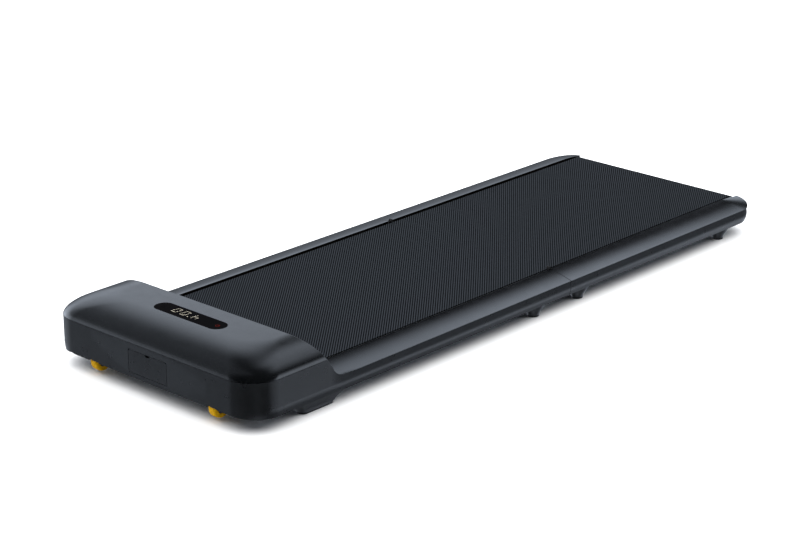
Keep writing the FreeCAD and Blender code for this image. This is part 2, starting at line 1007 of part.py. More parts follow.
def power_rocker():
    left = switch_across - rocker_half
    right = switch_across + rocker_half
    barrel = rod(left, right, panel_y, socket_height, rocker_radius)
    dip = rocker_radius * math.tan(math.radians(rocker_tilt))
    front = panel_y - rocker_radius - over
    shaving = prism_x(
        left,
        right,
        (panel_y - rocker_nose + dip, socket_height),
        (panel_y - rocker_nose, socket_height + rocker_radius),
        (front, socket_height + rocker_radius),
        (front, socket_height - rocker_radius),
        (panel_y - rocker_nose, socket_height - rocker_radius),
    )
    pins = rod(left - rocker_pin_length, right + rocker_pin_length, panel_y, socket_height, rocker_pin_radius)
    rocker = joined(barrel.cut(shaving), pins)
    rocker.rotate(V(switch_across, panel_y, socket_height), V(1, 0, 0), -rocker_tilt)
    return rocker


def socket_door():
    half = door_width / 2
    back = front_y + shell_wall
    top_left = -half + door_corner
    bend = door_corner * math.sqrt(0.5)
    corner_z = door_top - door_corner
    notch = door_notch_width / 2
    plate = prism_y(
        front_y,
        back,
        (-half, door_bottom),
        (half, door_bottom),
        (half, corner_z),
        ((-top_left + bend, corner_z + bend), (-top_left, door_top)),
        (notch, door_top),
        (notch, door_top - door_notch_depth),
        (-notch, door_top - door_notch_depth),
        (-notch, door_top),
        (top_left, door_top),
        ((top_left - bend, corner_z + bend), (-half, corner_z)),
    )
    barrels = []
    for k in (-1, 0, 1):
        x0 = k * door_barrel_pitch - door_barrel_length / 2
        x1 = x0 + door_barrel_length
        barrels.append(rod(x0, x1, door_axis_y, door_axis_z, door_barrel_radius))
        barrels.append(box(x0, x1, back, door_axis_y, door_axis_z, door_axis_z + door_barrel_radius))
    door = joined(plate, *barrels)
    return door.cut(rod(-half, half, door_axis_y, door_axis_z, door_pin_radius + running_fit))


def socket_door_pin():
    reach = pocket_half + pocket_wall
    return rod(-reach, reach, door_axis_y, door_axis_z, door_pin_radius)


# Motor and drive
def motor_rod(x0, x1, radius):
    return rod(x0, x1, motor_y, motor_height, radius)


def turned_about_motor(shape, degrees):
    shape.rotate(V(0, motor_y, motor_height), V(1, 0, 0), degrees)
    return shape


def motor_can():
    outer = motor_rod(motor_left, motor_right, motor_radius)
    hollow = motor_rod(motor_left + motor_end_cap, motor_right - motor_end_cap, motor_radius - motor_wall)
    bore = motor_rod(motor_left, motor_right, motor_shaft_radius + running_fit)
    vents = []
    for k in range(vent_count):
        side = vent_width / 2
        slot = box(motor_right - motor_end_cap, motor_right, motor_y - side, motor_y + side,
                   motor_height + vent_start, motor_height + vent_end)
        vents.append(turned_about_motor(slot, 360 / vent_count * k))
    return without(outer, hollow, bore, *vents)


winding_left = motor_left + motor_end_cap + motor_end_room
winding_right = motor_right - motor_end_cap - motor_end_room


def motor_stator():
    ring = motor_rod(winding_left, winding_right, motor_radius - motor_wall)
    return ring.cut(motor_rod(winding_left, winding_right, stator_bore))


def motor_core():
    core = motor_rod(winding_left, winding_right, stator_bore - core_gap)
    return core.cut(motor_rod(winding_left, winding_right, motor_shaft_radius))


def motor_fan():
    hub = motor_rod(fan_left, fan_right, fan_hub)
    disc = motor_rod(fan_left, fan_left + fan_sheet, fan_radius)
    blades = []
    for k in range(fan_blades):
        blade = box(fan_left, fan_right - fan_sheet, motor_y - fan_sheet / 2, motor_y + fan_sheet / 2,
                    motor_height + fan_hub - fan_sheet, motor_height + fan_radius)
        blades.append(turned_about_motor(blade, 360 / fan_blades * k))
    return joined(hub, disc, *blades).cut(motor_rod(fan_left, fan_right, motor_shaft_radius))


def grooves(y, z, radius):
    start = pulley_left + (pulley_width - groove_pitch * (groove_count - 1)) / 2
    rings = []
    for k in range(groove_count):
        x = start + groove_pitch * k
        section = outline(on_xz(y), (x - groove_half, z + radius), (x, z + radius - groove_depth),
                          (x + groove_half, z + radius))
        rings.append(Part.Face(section).revolve(V(x, y, z), V(1, 0, 0), 360))
    return rings


def motor_pulley():
    pulley = motor_rod(pulley_left, pulley_right, motor_pulley_radius)
    bore = motor_rod(pulley_left, pulley_right, motor_shaft_radius)
    return without(pulley, bore, *grooves(motor_y, motor_height, motor_pulley_radius))


def motor_rotor():
    shaft = motor_rod(pulley_left, fan_right, motor_shaft_radius)
    return group(motor_core(), shaft, motor_fan(), motor_pulley())


def drive_roller_pulley():
    pulley = rod(pulley_left, pulley_right, drive_y, axle_z, drive_pulley_radius)
    collar = rod(pulley_right, -roller_half, drive_y, axle_z, roller_radius)
    bore = rod(pulley_left, -roller_half, drive_y, axle_z, axle_radius + axle_clearance)
    return without(joined(pulley, collar), bore, *grooves(drive_y, axle_z, drive_pulley_radius))


def loop_solid(grow, x0, x1):
    first = motor_pulley_radius + grow
    second = drive_pulley_radius + grow
    heading = math.atan2(axle_z - motor_height, drive_y - motor_y)
    lean = math.acos((first - second) / math.hypot(drive_y - motor_y, axle_z - motor_height))

    def on_motor(angle):
        return (motor_y + first * math.cos(angle), motor_height + first * math.sin(angle))

    def on_roller(angle):
        return (drive_y + second * math.cos(angle), axle_z + second * math.sin(angle))

    return prism_x(
        x0,
        x1,
        on_motor(heading + lean),
        (on_motor(heading + math.pi), on_motor(heading - lean)),
        on_roller(heading - lean),
        (on_roller(heading), on_roller(heading + lean)),
    )


def motor_drive_belt():
    middle = (pulley_left + pulley_right) / 2
    x0 = middle - drive_belt_width / 2
    x1 = middle + drive_belt_width / 2
    return loop_solid(roller_gap + drive_belt_thickness, x0, x1).cut(loop_solid(roller_gap, x0, x1))


def motor_tray():
    return box(-tube_outer, tube_outer, at(tray_front), tray_back_y, floor_top, tray_top)


def motor_saddle():
    x0 = motor_left + saddle_inset
    x1 = motor_right - saddle_inset
    top = motor_height - saddle_top_drop
    block = box(x0, x1, motor_y - saddle_half, motor_y + saddle_half, tray_top, top)
    return block.cut(motor_rod(motor_left, motor_right, motor_radius))


# Control board
def control_heat_sink():
    fin_bottom = tray_top + sink_base
    base = box(board_x0, board_x1, board_y0, board_y1, tray_top, fin_bottom)
    fins = []
    for k in range(fin_count):
        x = board_x0 + fin_margin + fin_pitch * k
        fins.append(box(x, x + fin_thickness, board_y0, board_y1, fin_bottom, fin_bottom + fin_height))
    inset = 2 * board_post_radius
    posts = []
    for x in (board_x0 + inset, board_x1 - inset):
        for y in (board_y0 + inset, board_y1 - inset):
            posts.append(post(x, y, fin_bottom, board_z, board_post_radius))
    return joined(base, *fins, *posts)


def on_board(x, y, size):
    wide, deep, tall = size
    return box(x, x + wide, y, y + deep, board_top, board_top + tall)


def control_board():
    board = box(board_x0, board_x1, board_y0, board_y1, board_z, board_top)
    parts = []
    for k in range(capacitor_count):
        x = board_x0 + fin_margin + 2 * capacitor_radius + capacitor_pitch * k
        y = board_y0 + capacitor_pitch
        parts.append(post(x, y, board_top, board_top + capacitor_height, capacitor_radius))
    back = board_y1 - board_front_gap - choke_size[1]
    parts.append(on_board(board_x1 - 2 * relay_size[0], board_y0 + board_front_gap, relay_size))
    parts.append(on_board(board_x1 - 2 * relay_size[0], back, relay_size))
    parts.append(on_board(board_x0 + fin_margin, back, choke_size))
    return group(board, *parts)


def wiring_leads():
    over_board = board_x0 + fin_pitch
    turn_y = panel_y + inlet_depth + 2 * lead_bend
    power = cable(
        lead_radius, lead_bend,
        (inlet_across, panel_y + inlet_depth, socket_height),
        (inlet_across, turn_y, socket_height),
        (over_board, turn_y, socket_height + 2 * lead_bend),
        (over_board, turn_y, board_top),
    )
    tap_x = motor_right - 2 * motor_end_room
    back_y = motor_y + motor_radius
    motor = cable(
        lead_radius, lead_bend,
        (tap_x, back_y, motor_height),
        (tap_x, back_y + lead_bend + over, motor_height),
        (over_board, back_y + lead_bend + over, motor_height),
        (over_board, back_y + lead_bend + over, board_top),
    )
    low = display_board_top - board_thickness
    display_y = at(display_distance)
    start_x = display_board_length / 2 - display_board_width
    end_x = board_x1 - lead_drop
    display = cable(
        ribbon_radius, ribbon_bend,
        (start_x, display_y, low),
        (start_x, display_y, low - lead_drop),
        (end_x, display_y, low - lead_drop),
        (end_x, display_y, board_top),
    )
    return group(power, motor, display)


front_pan, front_pan_screws = pan_and_screws(head_floor_y - pan_head_lap, front_end)
rear_pan, rear_pan_screws = pan_and_screws(rear_start, tail_centre_y - pan_tail_gap)
long_foot_y = at(head_split_depth - long_foot_lead) + long_foot_length / 2
front_foot_y = fold_y - fold_foot_front
rear_foot_y = fold_y + fold_foot_rear
tail_foot_y = tail_y - tail_foot_inset

nodes = {
    "head_top_cover": head_top_cover(),
    "front_lower_housing": front_lower_housing(),
    "front_rail_trims": pair(front_trim()),
    "rear_rail_trims": pair(rear_trim()),
    "rear_skirts": pair(rear_skirt()),
    "front_side_tubes": pair(side_tube(tube_front, fold_y - tube_fold_gap)),
    "rear_side_tubes": pair(side_tube(fold_y + tube_fold_gap, tube_rear_end)),
    "front_cross_members": cross_members(front_cross_places),
    "rear_cross_members": cross_members(rear_cross_places),
    "front_deck_board": deck_board(drive_y + wrap_inner + deck_roller_gap, fold_y - deck_fold_gap),
    "rear_deck_board": deck_board(fold_y + deck_fold_gap, rear_y - wrap_inner - deck_roller_gap),
    "front_deck_cushions": deck_cushions(front_cross_places),
    "rear_deck_cushions": deck_cushions(rear_cross_places),
    "walking_belt_front": belt_half_loop(front_end, drive_y, -1),
    "walking_belt_rear": belt_half_loop(rear_start, rear_y, 1),
    "drive_roller_tube": roller_tube(drive_y),
    "drive_roller_bearings": roller_bearings(drive_y),
    "drive_roller_axle": drive_axle(),
    "drive_roller_pulley": drive_roller_pulley(),
    "roller_side_plates": pair(roller_side_plate()),
    "rear_roller_tube": roller_tube(rear_y),
    "rear_roller_bearings": roller_bearings(rear_y),
    "rear_roller_axle": rod(-rear_axle_half(), rear_axle_half(), rear_y, axle_z, axle_radius),
    "rear_axle_brackets": pair(rear_axle_bracket()),
    "belt_tension_screws": pair(tension_screw()),
    "front_bottom_pan": front_pan,
    "rear_bottom_pan": rear_pan,
    "front_pan_screws": front_pan_screws,
    "rear_pan_screws": rear_pan_screws,
    "fold_leaves_front": pair(front_leaf()),
    "fold_leaves_rear": pair(rear_leaf()),
    "fold_pins": pair(fold_pin()),
    "head_long_feet": pair(long_foot()),
    "front_fold_feet": pair(round_foot(front_foot_y)),
    "rear_feet": group(*[pair(round_foot(y)) for y in (rear_foot_y, tail_foot_y)]),
    "front_foot_pads": group(pair(long_foot_pad()), pair(foot_pad(front_foot_y))),
    "rear_foot_pads": group(*[pair(foot_pad(y)) for y in (rear_foot_y, tail_foot_y)]),
    "transport_wheel_right": transport_wheel(wheel_across),
    "transport_wheel_left": transport_wheel(-wheel_across),
    "wheel_axles": pair(wheel_axle(wheel_across)),
    "wheel_forks": pair(wheel_fork(wheel_across)),
    "display_lens": display_lens(),
    "display_board": display_board(),
    "socket_pocket": socket_pocket(),
    "power_inlet": power_inlet(),
    "power_switch_body": power_switch_body(),
    "power_rocker": power_rocker(),
    "socket_door": socket_door(),
    "socket_door_pin": socket_door_pin(),
    "motor_can": motor_can(),
    "motor_stator": motor_stator(),
    "motor_rotor": motor_rotor(),
    "motor_drive_belt": motor_drive_belt(),
    "motor_tray": motor_tray(),
    "motor_saddle": motor_saddle(),
    "control_heat_sink": control_heat_sink(),
    "control_board": control_board(),
    "wiring_leads": wiring_leads(),
}

for name, shape in nodes.items():
    shape.exportStep("parts/" + name + ".step")
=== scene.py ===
"""Folding walking pad: the dressed pieces, their finishes, the light and the camera.

Shapes are drawn in millimetres in the part's own frame and scaled to metres when a piece is finished.
"""
import json
import math

import bmesh
import bpy
from mathutils import Matrix, Vector


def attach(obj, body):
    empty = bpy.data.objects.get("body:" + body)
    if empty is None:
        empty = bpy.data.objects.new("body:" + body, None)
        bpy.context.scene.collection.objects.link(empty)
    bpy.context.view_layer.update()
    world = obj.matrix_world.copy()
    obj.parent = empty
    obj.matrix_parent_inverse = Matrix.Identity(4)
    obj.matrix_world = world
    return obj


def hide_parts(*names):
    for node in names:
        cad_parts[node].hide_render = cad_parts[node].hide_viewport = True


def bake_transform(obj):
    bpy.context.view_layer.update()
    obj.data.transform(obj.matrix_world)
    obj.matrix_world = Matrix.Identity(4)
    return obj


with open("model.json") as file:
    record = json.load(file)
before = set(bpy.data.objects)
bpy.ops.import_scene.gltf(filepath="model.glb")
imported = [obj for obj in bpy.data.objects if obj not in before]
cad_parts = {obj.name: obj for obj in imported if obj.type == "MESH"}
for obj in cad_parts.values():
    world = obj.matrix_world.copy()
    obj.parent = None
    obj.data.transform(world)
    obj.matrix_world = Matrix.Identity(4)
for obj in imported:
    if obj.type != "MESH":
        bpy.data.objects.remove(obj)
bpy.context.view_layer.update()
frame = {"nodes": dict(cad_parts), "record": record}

MM = 0.001

# How far a point may lie from a place and still count as being there
ON_CUT = 0.001
NEAR = 0.01
SAME_POINT = 0.02
ABOVE = 0.1
ON_WALL = 0.5
AT_END = 1

# Plan of the pad
FRONT_Y = -722.5
TAIL_Y = 722.5
FOLD_Y = 107.5
FOLD_GAP = 0.5
FRONT_END = FOLD_Y - FOLD_GAP
REAR_START = FOLD_Y + FOLD_GAP
HALF_WIDTH = 259.5
TRIM_INNER = 207.5
RAIL_WIDTH = HALF_WIDTH - TRIM_INNER
TAIL_TURN_Y = TAIL_Y - RAIL_WIDTH
TAIL_STEPS = 24
CORNER_RADIUS = 60
CORNER_STEPS = 16

# Heights
HOUSING_BOTTOM = 25
FRONT_BOTTOM = 32
CREASE_Z = 37.5
CREASE_IN = 5
CREASE_ROUND = 6
CREASE_STEPS = 5
SIDE_ROW_Z = 65
SKIRT_TOP = 53.6
SKIRT_LEAN = 2.5
SPLIT_Z = 93
SPLIT_GAP = 0.5
COVER_TOP = 125
BELT_TOP = 64
SHELL_WALL = 2.5

# Head cover
COVER_REAR = -548
COVER_REAR_TOP = -564.5
COVER_SPARE = 5
COVER_EDGE = 1.6
COVER_EDGE_STEPS = 3
COVER_LIP = 0.8
COVER_LIP_REACH = 0.4
CROWN_REACH = 80
CROWN_ROWS = 16
CROWN_START = math.radians(8)
LENS_Y = -620.5
LENS_HALF = 85
LENS_RADIUS = 18.5
LENS_GAP = 0.3
LENS_STEPS = 48

# Lower housing
SWEEP_SLOPE = math.atan2(26, 17)
SWEEP_RADIUS = 38
SWEEP_ROW = 3.2
SWEEP_ROWS = 16
ARM_ROWS = (-300, 0)
ARCH_RADIUS = 14.5
ARCH_Z = 18.5
ARCH_STEPS = 6
HOUSING_FLANGE = 12
HOUSING_EDGE = 0.6
PLATE_IN = 8
PLATE_REAR = -516.5
PLATE_UP = 0.4
PLATE_WALL = 2
ARM_START = -516
ARM_INNER = 202.5
ARM_OUTER = HALF_WIDTH - 7
PANEL_HALF = 257
PANEL_TOP = (COVER_REAR - 0.4, SPLIT_Z + 0.2)
PANEL_FOOT = (-532.05, 68)
PANEL_WALL = 2

# Socket door
DOOR_HALF = 48.5
DOOR_BOTTOM = 39
DOOR_TOP = 80.5
DOOR_GAP = 0.7
DOOR_CORNER = 4
DOOR_CORNER_STEPS = 6
DOOR_EDGE = 0.4
DOOR_AXIS_Y = -718.3
DOOR_AXIS_Z = 43.2
NOTCH_HALF = 7
NOTCH_DEEP = 3.5
NOTCH_TAPER = 0.45
KNUCKLES_X = (-40, 0, 40)
KNUCKLE_RADIUS = 2.4
KNUCKLE_LONG = 14
KNUCKLE_STEPS = 24

# Transport wheels
WHEEL_X = 151
WHEEL_Y = -697.5
WHEEL_Z = 25.5
WHEEL_RADIUS = 20
WHEEL_HALF = 8
WHEEL_SLOT_HALF = 12
WHEEL_SLOT_LONG = 23
HUB_RADIUS = 9
TYRE_FLANK = ((2, HUB_RADIUS), (1, HUB_RADIUS + 2), (0, HUB_RADIUS + 3))
TYRE_ROUND = 4
TYRE_ANGLES = (22, 45, 68, 90)
TYRE_STEPS = 56
HUB_FLANK = ((1, 3.2), (1, 5), (3, 5.6), (3, 7.6), (1.6, 8), (1.6, HUB_RADIUS))
HUB_STEPS = 40

# Rail trims and rear skirts
TRIM_CROWN = 66
TRIM_EDGE_X = 259.1
TRIM_EDGE_Z = 54.6
TRIM_FOOT = 50
TRIM_UNDER = 53.8
TRIM_WEB = 2
TRIM_ROUND = 0.5
TRIM_TILT = math.radians(7)
TRIM_STEPS = 14
TRIM_FRONT = -540.2
TRIM_HIDDEN_X = 256.6
TRIM_FLARE = (-502, -470)
FLARE_ROWS = 4
TAIL_DOME = 0.3
SKIRT_INNER = TRIM_INNER + 1
SKIRT_EDGE = 0.5
SKIRT_BEND = 1

# Belt and rollers
BELT_HALF = 200
BELT_THICK = 1.8
BELT_ROW = 40
FRONT_BELT_ROWS = 16
REAR_BELT_ROWS = 14
WRAP_STEPS = 20
FOLD_BEND = 2
FOLD_ROWS = 20
AXLE_Z = 46.2
DRIVE_Y = -559.5
REAR_ROLLER_Y = 704.7

# Feet
FOOT_X = 231
FOOT_RADIUS = 22.5
FOOT_CURVE = ((0, 0), (0.12, 0.04), (0.25, 0.12), (0.38, 0.26), (0.5, 0.42), (0.75, 0.75), (1, 1))
FOOT_STEPS = 40
PAD_RADIUS = 11.5
PAD_HIGH = 3
PAD_GROOVE = ((0.45, 0), (0.5, 0.7), (0.6, 0.7), (0.65, 0))
PAD_RIM = ((0.8, 0), (0.2, 0.3), (0, 0.9), (0, PAD_HIGH))
PAD_STEPS = 32
LONG_FOOT_Y = -552
LONG_FOOT_HALF = 40
LONG_FOOT_SLOPE = 28
FOLD_FEET_Y = (30, 162)
TAIL_FOOT_Y = 624

# Display
LENS_DEEP = 3.5
LENS_THICK = 3.2
LENS_EDGE = 0.5
PRINT_Z = COVER_TOP - 0.3
PRINT_HIGH = 0.12
DIGIT_WIDE = 11
DIGIT_HIGH = 16
DIGIT_STROKE = 0.5
DIGIT_SLANT = 0.16
DIGIT_BACK = 2
SEGMENT_GAP = 0.5
LEVEL_BAR = (DIGIT_WIDE - DIGIT_STROKE - SEGMENT_GAP, DIGIT_STROKE)
UPRIGHT_BAR = (DIGIT_STROKE, DIGIT_HIGH / 2 - SEGMENT_GAP)
SEGMENT_PLACES = {
    "a": (0, 1, LEVEL_BAR),
    "g": (0, 0, LEVEL_BAR),
    "d": (0, -1, LEVEL_BAR),
    "f": (-1, 0.5, UPRIGHT_BAR),
    "b": (1, 0.5, UPRIGHT_BAR),
    "e": (-1, -0.5, UPRIGHT_BAR),
    "c": (1, -0.5, UPRIGHT_BAR),
}
SEGMENTS = {"0": "abcdef", "4": "bcfg"}
DIGITS = (("4", 13), ("0", -15), ("0", -36.5))
DIGIT_GLOW = ((0.6, 0.55, 0.45), 0.16)
POINT_HALF = 0.8
POINT_X = -1.5
POINT_FORWARD = 6
MARK_RING = (3.2, 4.2)
MARK_STEM_HALF = 0.5
MARK_STEM = (0.6, 3.4)
MARK_STEPS = 28
MARKS = (
    ("display_red_mark", 68, (0.06, 0.006, 0.004), 0.25),
    ("display_grey_mark", -68, (0.0025, 0.0025, 0.003), 0.4),
)


# Finishes

NOISE_ROUGH = 0.55
MOTTLE_SCALE = 18
GLOSS_SCALE = 55
GLOSS_LOW = 0.88
GLOSS_HIGH = 1.12
GRAIN_STRENGTH = 0.35
# Pointiness range over which outward edges take a painted highlight tone
EDGE_HIGHLIGHT_RANGE = (0.52, 0.62)
BRUSH_SCALE = 240
BRUSH_LOW = 0.8
BRUSH_HIGH = 1.25
BRUSH_STRENGTH = 0.15
BRUSH_DEPTH = 0.0002
BELT_RIB_TURN = math.radians(-40)
BELT_CROSS_TURN = math.radians(50)
BELT_RIB_PITCH = 4.2
BELT_RIB_SCALE = math.pi / (10 * BELT_RIB_PITCH * MM)
BELT_RIB_RANGE = (0.2, 0.8)
BELT_CROSS_LOW = 0.8
# The groove tone is painted shade: the belt's grooves are coloured darker than its ribs
BELT_GROOVE_SHADE = (0.0012, 0.0014, 0.0017)
BELT_RIB = (0.0212, 0.0244, 0.0288)
BELT_ROUGH = (0.58, 0.68)
BELT_WEAR_SCALE = 120
BELT_STRENGTH = 0.4
BELT_DEPTH = 0.0004
GLOW_SCALE = 400
GLOW_LOW = 0.85


def add_node(tree, kind, values=None, **settings):
    """A shader node with its settings, whose sockets take values or other nodes' outputs."""
    node = tree.nodes.new(kind)
    for key, value in settings.items():
        setattr(node, key, value)
    for socket, value in (values or {}).items():
        if isinstance(value, bpy.types.NodeSocket):
            tree.links.new(value, node.inputs[socket])
        else:
            node.inputs[socket].default_value = value
    return node


def start_finish(name, **sockets):
    """A material with its principled shader and the piece's own coordinates."""
    material = bpy.data.materials.new(name)
    material.use_nodes = True
    tree = material.node_tree
    shader = tree.nodes["Principled BSDF"]
    for socket, value in sockets.items():
        shader.inputs[socket.replace("_", " ")].default_value = value
    place = add_node(tree, "ShaderNodeTexCoord").outputs["Object"]
    return material, tree, shader, place


def noise(tree, place, scale, detail=3):
    values = {"Vector": place, "Scale": scale, "Detail": detail, "Roughness": NOISE_ROUGH}
    return add_node(tree, "ShaderNodeTexNoise", values).outputs["Fac"]


def spread(tree, factor, low, high, start=0.3, end=0.7):
    """Maps a pattern's middle range onto two values."""
    values = {"Value": factor, "From Min": start, "From Max": end, "To Min": low, "To Max": high}
    return add_node(tree, "ShaderNodeMapRange", values).outputs["Result"]


def two_tone(tree, factor, first, second):
    """A mix of two tones, each a colour or another node's output."""
    tones = [tone if isinstance(tone, bpy.types.NodeSocket) else (*tone, 1) for tone in (first, second)]
    values = {"Factor": factor, "A": tones[0], "B": tones[1]}
    return add_node(tree, "ShaderNodeMix", values, data_type="RGBA").outputs["Result"]


def relief(tree, shader, height, strength, distance):
    values = {"Height": height, "Strength": strength, "Distance": distance}
    bump = add_node(tree, "ShaderNodeBump", values)
    tree.links.new(bump.outputs["Normal"], shader.inputs["Normal"])


def painted_edge_highlight(tree):
    """A mask of the piece's outward edges, where a lighter tone is painted as a highlight."""
    edge = add_node(tree, "ShaderNodeNewGeometry").outputs["Pointiness"]
    return spread(tree, edge, 0, 1, *EDGE_HIGHLIGHT_RANGE)


def moulded(name, dark, light, rough, grain, depth, edge=None, **sockets):
    """Moulded plastic or paint: mottled tone, uneven gloss, fine grain and a painted highlight on outward
    edges.
    """
    material, tree, shader, place = start_finish(name, **sockets)
    mottle = noise(tree, place, MOTTLE_SCALE)
    tone = two_tone(tree, spread(tree, mottle, 0, 1), dark, light)
    # edge is a lighter tone painted on outward edges as a highlight
    if edge:
        tone = two_tone(tree, painted_edge_highlight(tree), tone, edge)
    tree.links.new(tone, shader.inputs["Base Color"])
    gloss = spread(tree, noise(tree, place, GLOSS_SCALE, detail=5), rough * GLOSS_LOW, rough * GLOSS_HIGH)
    tree.links.new(gloss, shader.inputs["Roughness"])
    relief(tree, shader, noise(tree, place, grain, detail=2), GRAIN_STRENGTH, depth)
    return material


def brushed(name, dark, light, rough, along):
    """Metal with fine lines along one direction."""
    material, tree, shader, place = start_finish(name, Metallic=1)
    stretched = add_node(tree, "ShaderNodeMapping", {"Vector": place, "Scale": along}).outputs["Vector"]
    lines = noise(tree, stretched, BRUSH_SCALE, detail=4)
    tree.links.new(two_tone(tree, spread(tree, lines, 0, 1), dark, light), shader.inputs["Base Color"])
    tree.links.new(spread(tree, lines, rough * BRUSH_LOW, rough * BRUSH_HIGH), shader.inputs["Roughness"])
    relief(tree, shader, lines, BRUSH_STRENGTH, BRUSH_DEPTH)
    return material


def ribbed(name):
    """Black rubber with fine crossing ribs, its grooves painted darker as shade."""
    material, tree, shader, place = start_finish(name, Specular_IOR_Level=0.01)
    waves = []
    for turn in (BELT_RIB_TURN, BELT_CROSS_TURN):
        turned = add_node(tree, "ShaderNodeMapping", {"Vector": place, "Rotation": (0, 0, turn)})
        values = {"Vector": turned.outputs["Vector"], "Scale": BELT_RIB_SCALE, "Distortion": 0}
        waves.append(add_node(tree, "ShaderNodeTexWave", values, wave_type="BANDS").outputs["Fac"])
    crossing = spread(tree, waves[1], BELT_CROSS_LOW, 1, 0, 1)
    height = add_node(tree, "ShaderNodeMath", {0: waves[0], 1: crossing}, operation="MULTIPLY").outputs[0]
    # Painted shade: the grooves take the darker tone, the ribs the lighter one
    tone = two_tone(tree, spread(tree, height, 0, 1, *BELT_RIB_RANGE), BELT_GROOVE_SHADE, BELT_RIB)
    tree.links.new(tone, shader.inputs["Base Color"])
    worn = spread(tree, noise(tree, place, BELT_WEAR_SCALE), *BELT_ROUGH)
    tree.links.new(worn, shader.inputs["Roughness"])
    relief(tree, shader, height, BELT_STRENGTH, BELT_DEPTH)
    return material


def glowing(name, tone, strength):
    """Lit display segments with a slightly uneven glow."""
    material, tree, shader, place = start_finish(name, Roughness=0.3, Specular_IOR_Level=0)
    light = two_tone(tree, noise(tree, place, GLOW_SCALE), tuple(GLOW_LOW * c for c in tone), tone)
    tree.links.new(light, shader.inputs["Emission Color"])
    tree.links.new(light, shader.inputs["Base Color"])
    shader.inputs["Emission Strength"].default_value = strength
    return material


# An edge entry is a lighter tone painted on outward edges as a highlight
MOULDED = {
    "cover_gloss": dict(dark=(0.0014, 0.0017, 0.002), light=(0.0018, 0.0021, 0.0025), rough=0.22,
                        grain=700, depth=0.000006),
    "housing_matte": dict(dark=(0.0042, 0.0049, 0.0059), light=(0.0053, 0.0062, 0.0075), rough=0.3,
                          grain=1500, depth=0.00001, edge=(0.009, 0.0105, 0.0125)),
    "trim_satin": dict(dark=(0.074, 0.075, 0.076), light=(0.079, 0.08, 0.081), rough=0.13,
                       grain=900, depth=0.000001, Metallic=1),
    "frame_steel": dict(dark=(0.004, 0.0042, 0.0046), light=(0.007, 0.0073, 0.008), rough=0.6,
                        grain=700, depth=0.0001, edge=(0.012, 0.0122, 0.013), Specular_IOR_Level=0.1),
    "deck_board": dict(dark=(0.02, 0.016, 0.013), light=(0.05, 0.04, 0.032), rough=0.62,
                       grain=420, depth=0.0002),
    "black_rubber": dict(dark=(0.006, 0.006, 0.0065), light=(0.011, 0.011, 0.012), rough=0.68,
                         grain=800, depth=0.0002),
    "wheel_amber": dict(dark=(0.42, 0.22, 0.0015), light=(0.52, 0.285, 0.0025), rough=0.42,
                        grain=500, depth=0.00003, edge=(0.6, 0.37, 0.012), Specular_IOR_Level=0.05),
    "lens_black": dict(dark=(0.0009, 0.0008, 0.0009), light=(0.0014, 0.0012, 0.0013), rough=0.12,
                       grain=300, depth=0.000005, Specular_IOR_Level=0.0015),
    "black_plastic": dict(dark=(0.007, 0.007, 0.008), light=(0.012, 0.012, 0.0135), rough=0.46,
                          grain=1200, depth=0.00006, edge=(0.022, 0.022, 0.024)),
    "motor_metal": dict(dark=(0.018, 0.018, 0.02), light=(0.03, 0.03, 0.032), rough=0.38,
                        grain=600, depth=0.00005, Metallic=0.4),
    "circuit_board": dict(dark=(0.006, 0.05, 0.02), light=(0.012, 0.085, 0.035), rough=0.4,
                          grain=260, depth=0.0001),
    "lead_cover": dict(dark=(0.16, 0.012, 0.01), light=(0.24, 0.02, 0.016), rough=0.45,
                       grain=300, depth=0.00005),
    "foot_satin": dict(dark=(0.016, 0.0175, 0.0195), light=(0.02, 0.022, 0.0245), rough=0.4,
                       grain=1500, depth=0.00001),
}
BRUSHED = {
    "bare_steel": dict(dark=(0.42, 0.42, 0.43), light=(0.62, 0.62, 0.63), rough=0.32, along=(1, 6, 6)),
    "winding_metal": dict(dark=(0.45, 0.2, 0.07), light=(0.72, 0.38, 0.16), rough=0.35, along=(8, 1, 1)),
    "sink_metal": dict(dark=(0.5, 0.51, 0.53), light=(0.68, 0.69, 0.71), rough=0.36, along=(1, 8, 8)),
    "screw_steel": dict(dark=(0.1, 0.1, 0.105), light=(0.2, 0.2, 0.21), rough=0.34, along=(6, 6, 1)),
}
finishes = {name: moulded(name, **look) for name, look in MOULDED.items()}
finishes.update({name: brushed(name, **look) for name, look in BRUSHED.items()})
finishes["belt_rubber"] = ribbed("belt_rubber")

for part in frame["record"]["subparts"]:
    for holder in frame["nodes"][part["node"]].material_slots:
        holder.material = finishes[part["material_slot"]]


# Shaping helpers

PIECE_SHARP = math.radians(38)
BELT_SHARP = math.radians(40)


def sheet_face(bm, x, y, z):
    """A flat four-sided face between two x and two y values."""
    verts = bmesh.ops.create_grid(bm, x_segments=1, y_segments=1, size=0.5)["verts"]
    bmesh.ops.scale(bm, vec=(x[1] - x[0], y[1] - y[0], 1), verts=verts)
    bmesh.ops.translate(bm, vec=(sum(x) / 2, sum(y) / 2, z), verts=verts)
    return verts


def block(bm, x, y, z):
    verts = bmesh.ops.create_cube(bm, size=1)["verts"]
    bmesh.ops.scale(bm, vec=(x[1] - x[0], y[1] - y[0], z[1] - z[0]), verts=verts)
    bmesh.ops.translate(bm, vec=(sum(x) / 2, sum(y) / 2, sum(z) / 2), verts=verts)
    return verts


def pill(bm, radius, z, filled):
    """A long outline with round ends, for the display window."""
    verts = bmesh.ops.create_circle(bm, segments=LENS_STEPS, radius=radius, cap_ends=filled)["verts"]
    for v in verts:
        if abs(v.co.x) > NEAR:
            v.co.x += math.copysign(LENS_HALF - LENS_RADIUS, v.co.x)
    bmesh.ops.translate(bm, vec=(0, LENS_Y, z), verts=verts)
    return verts


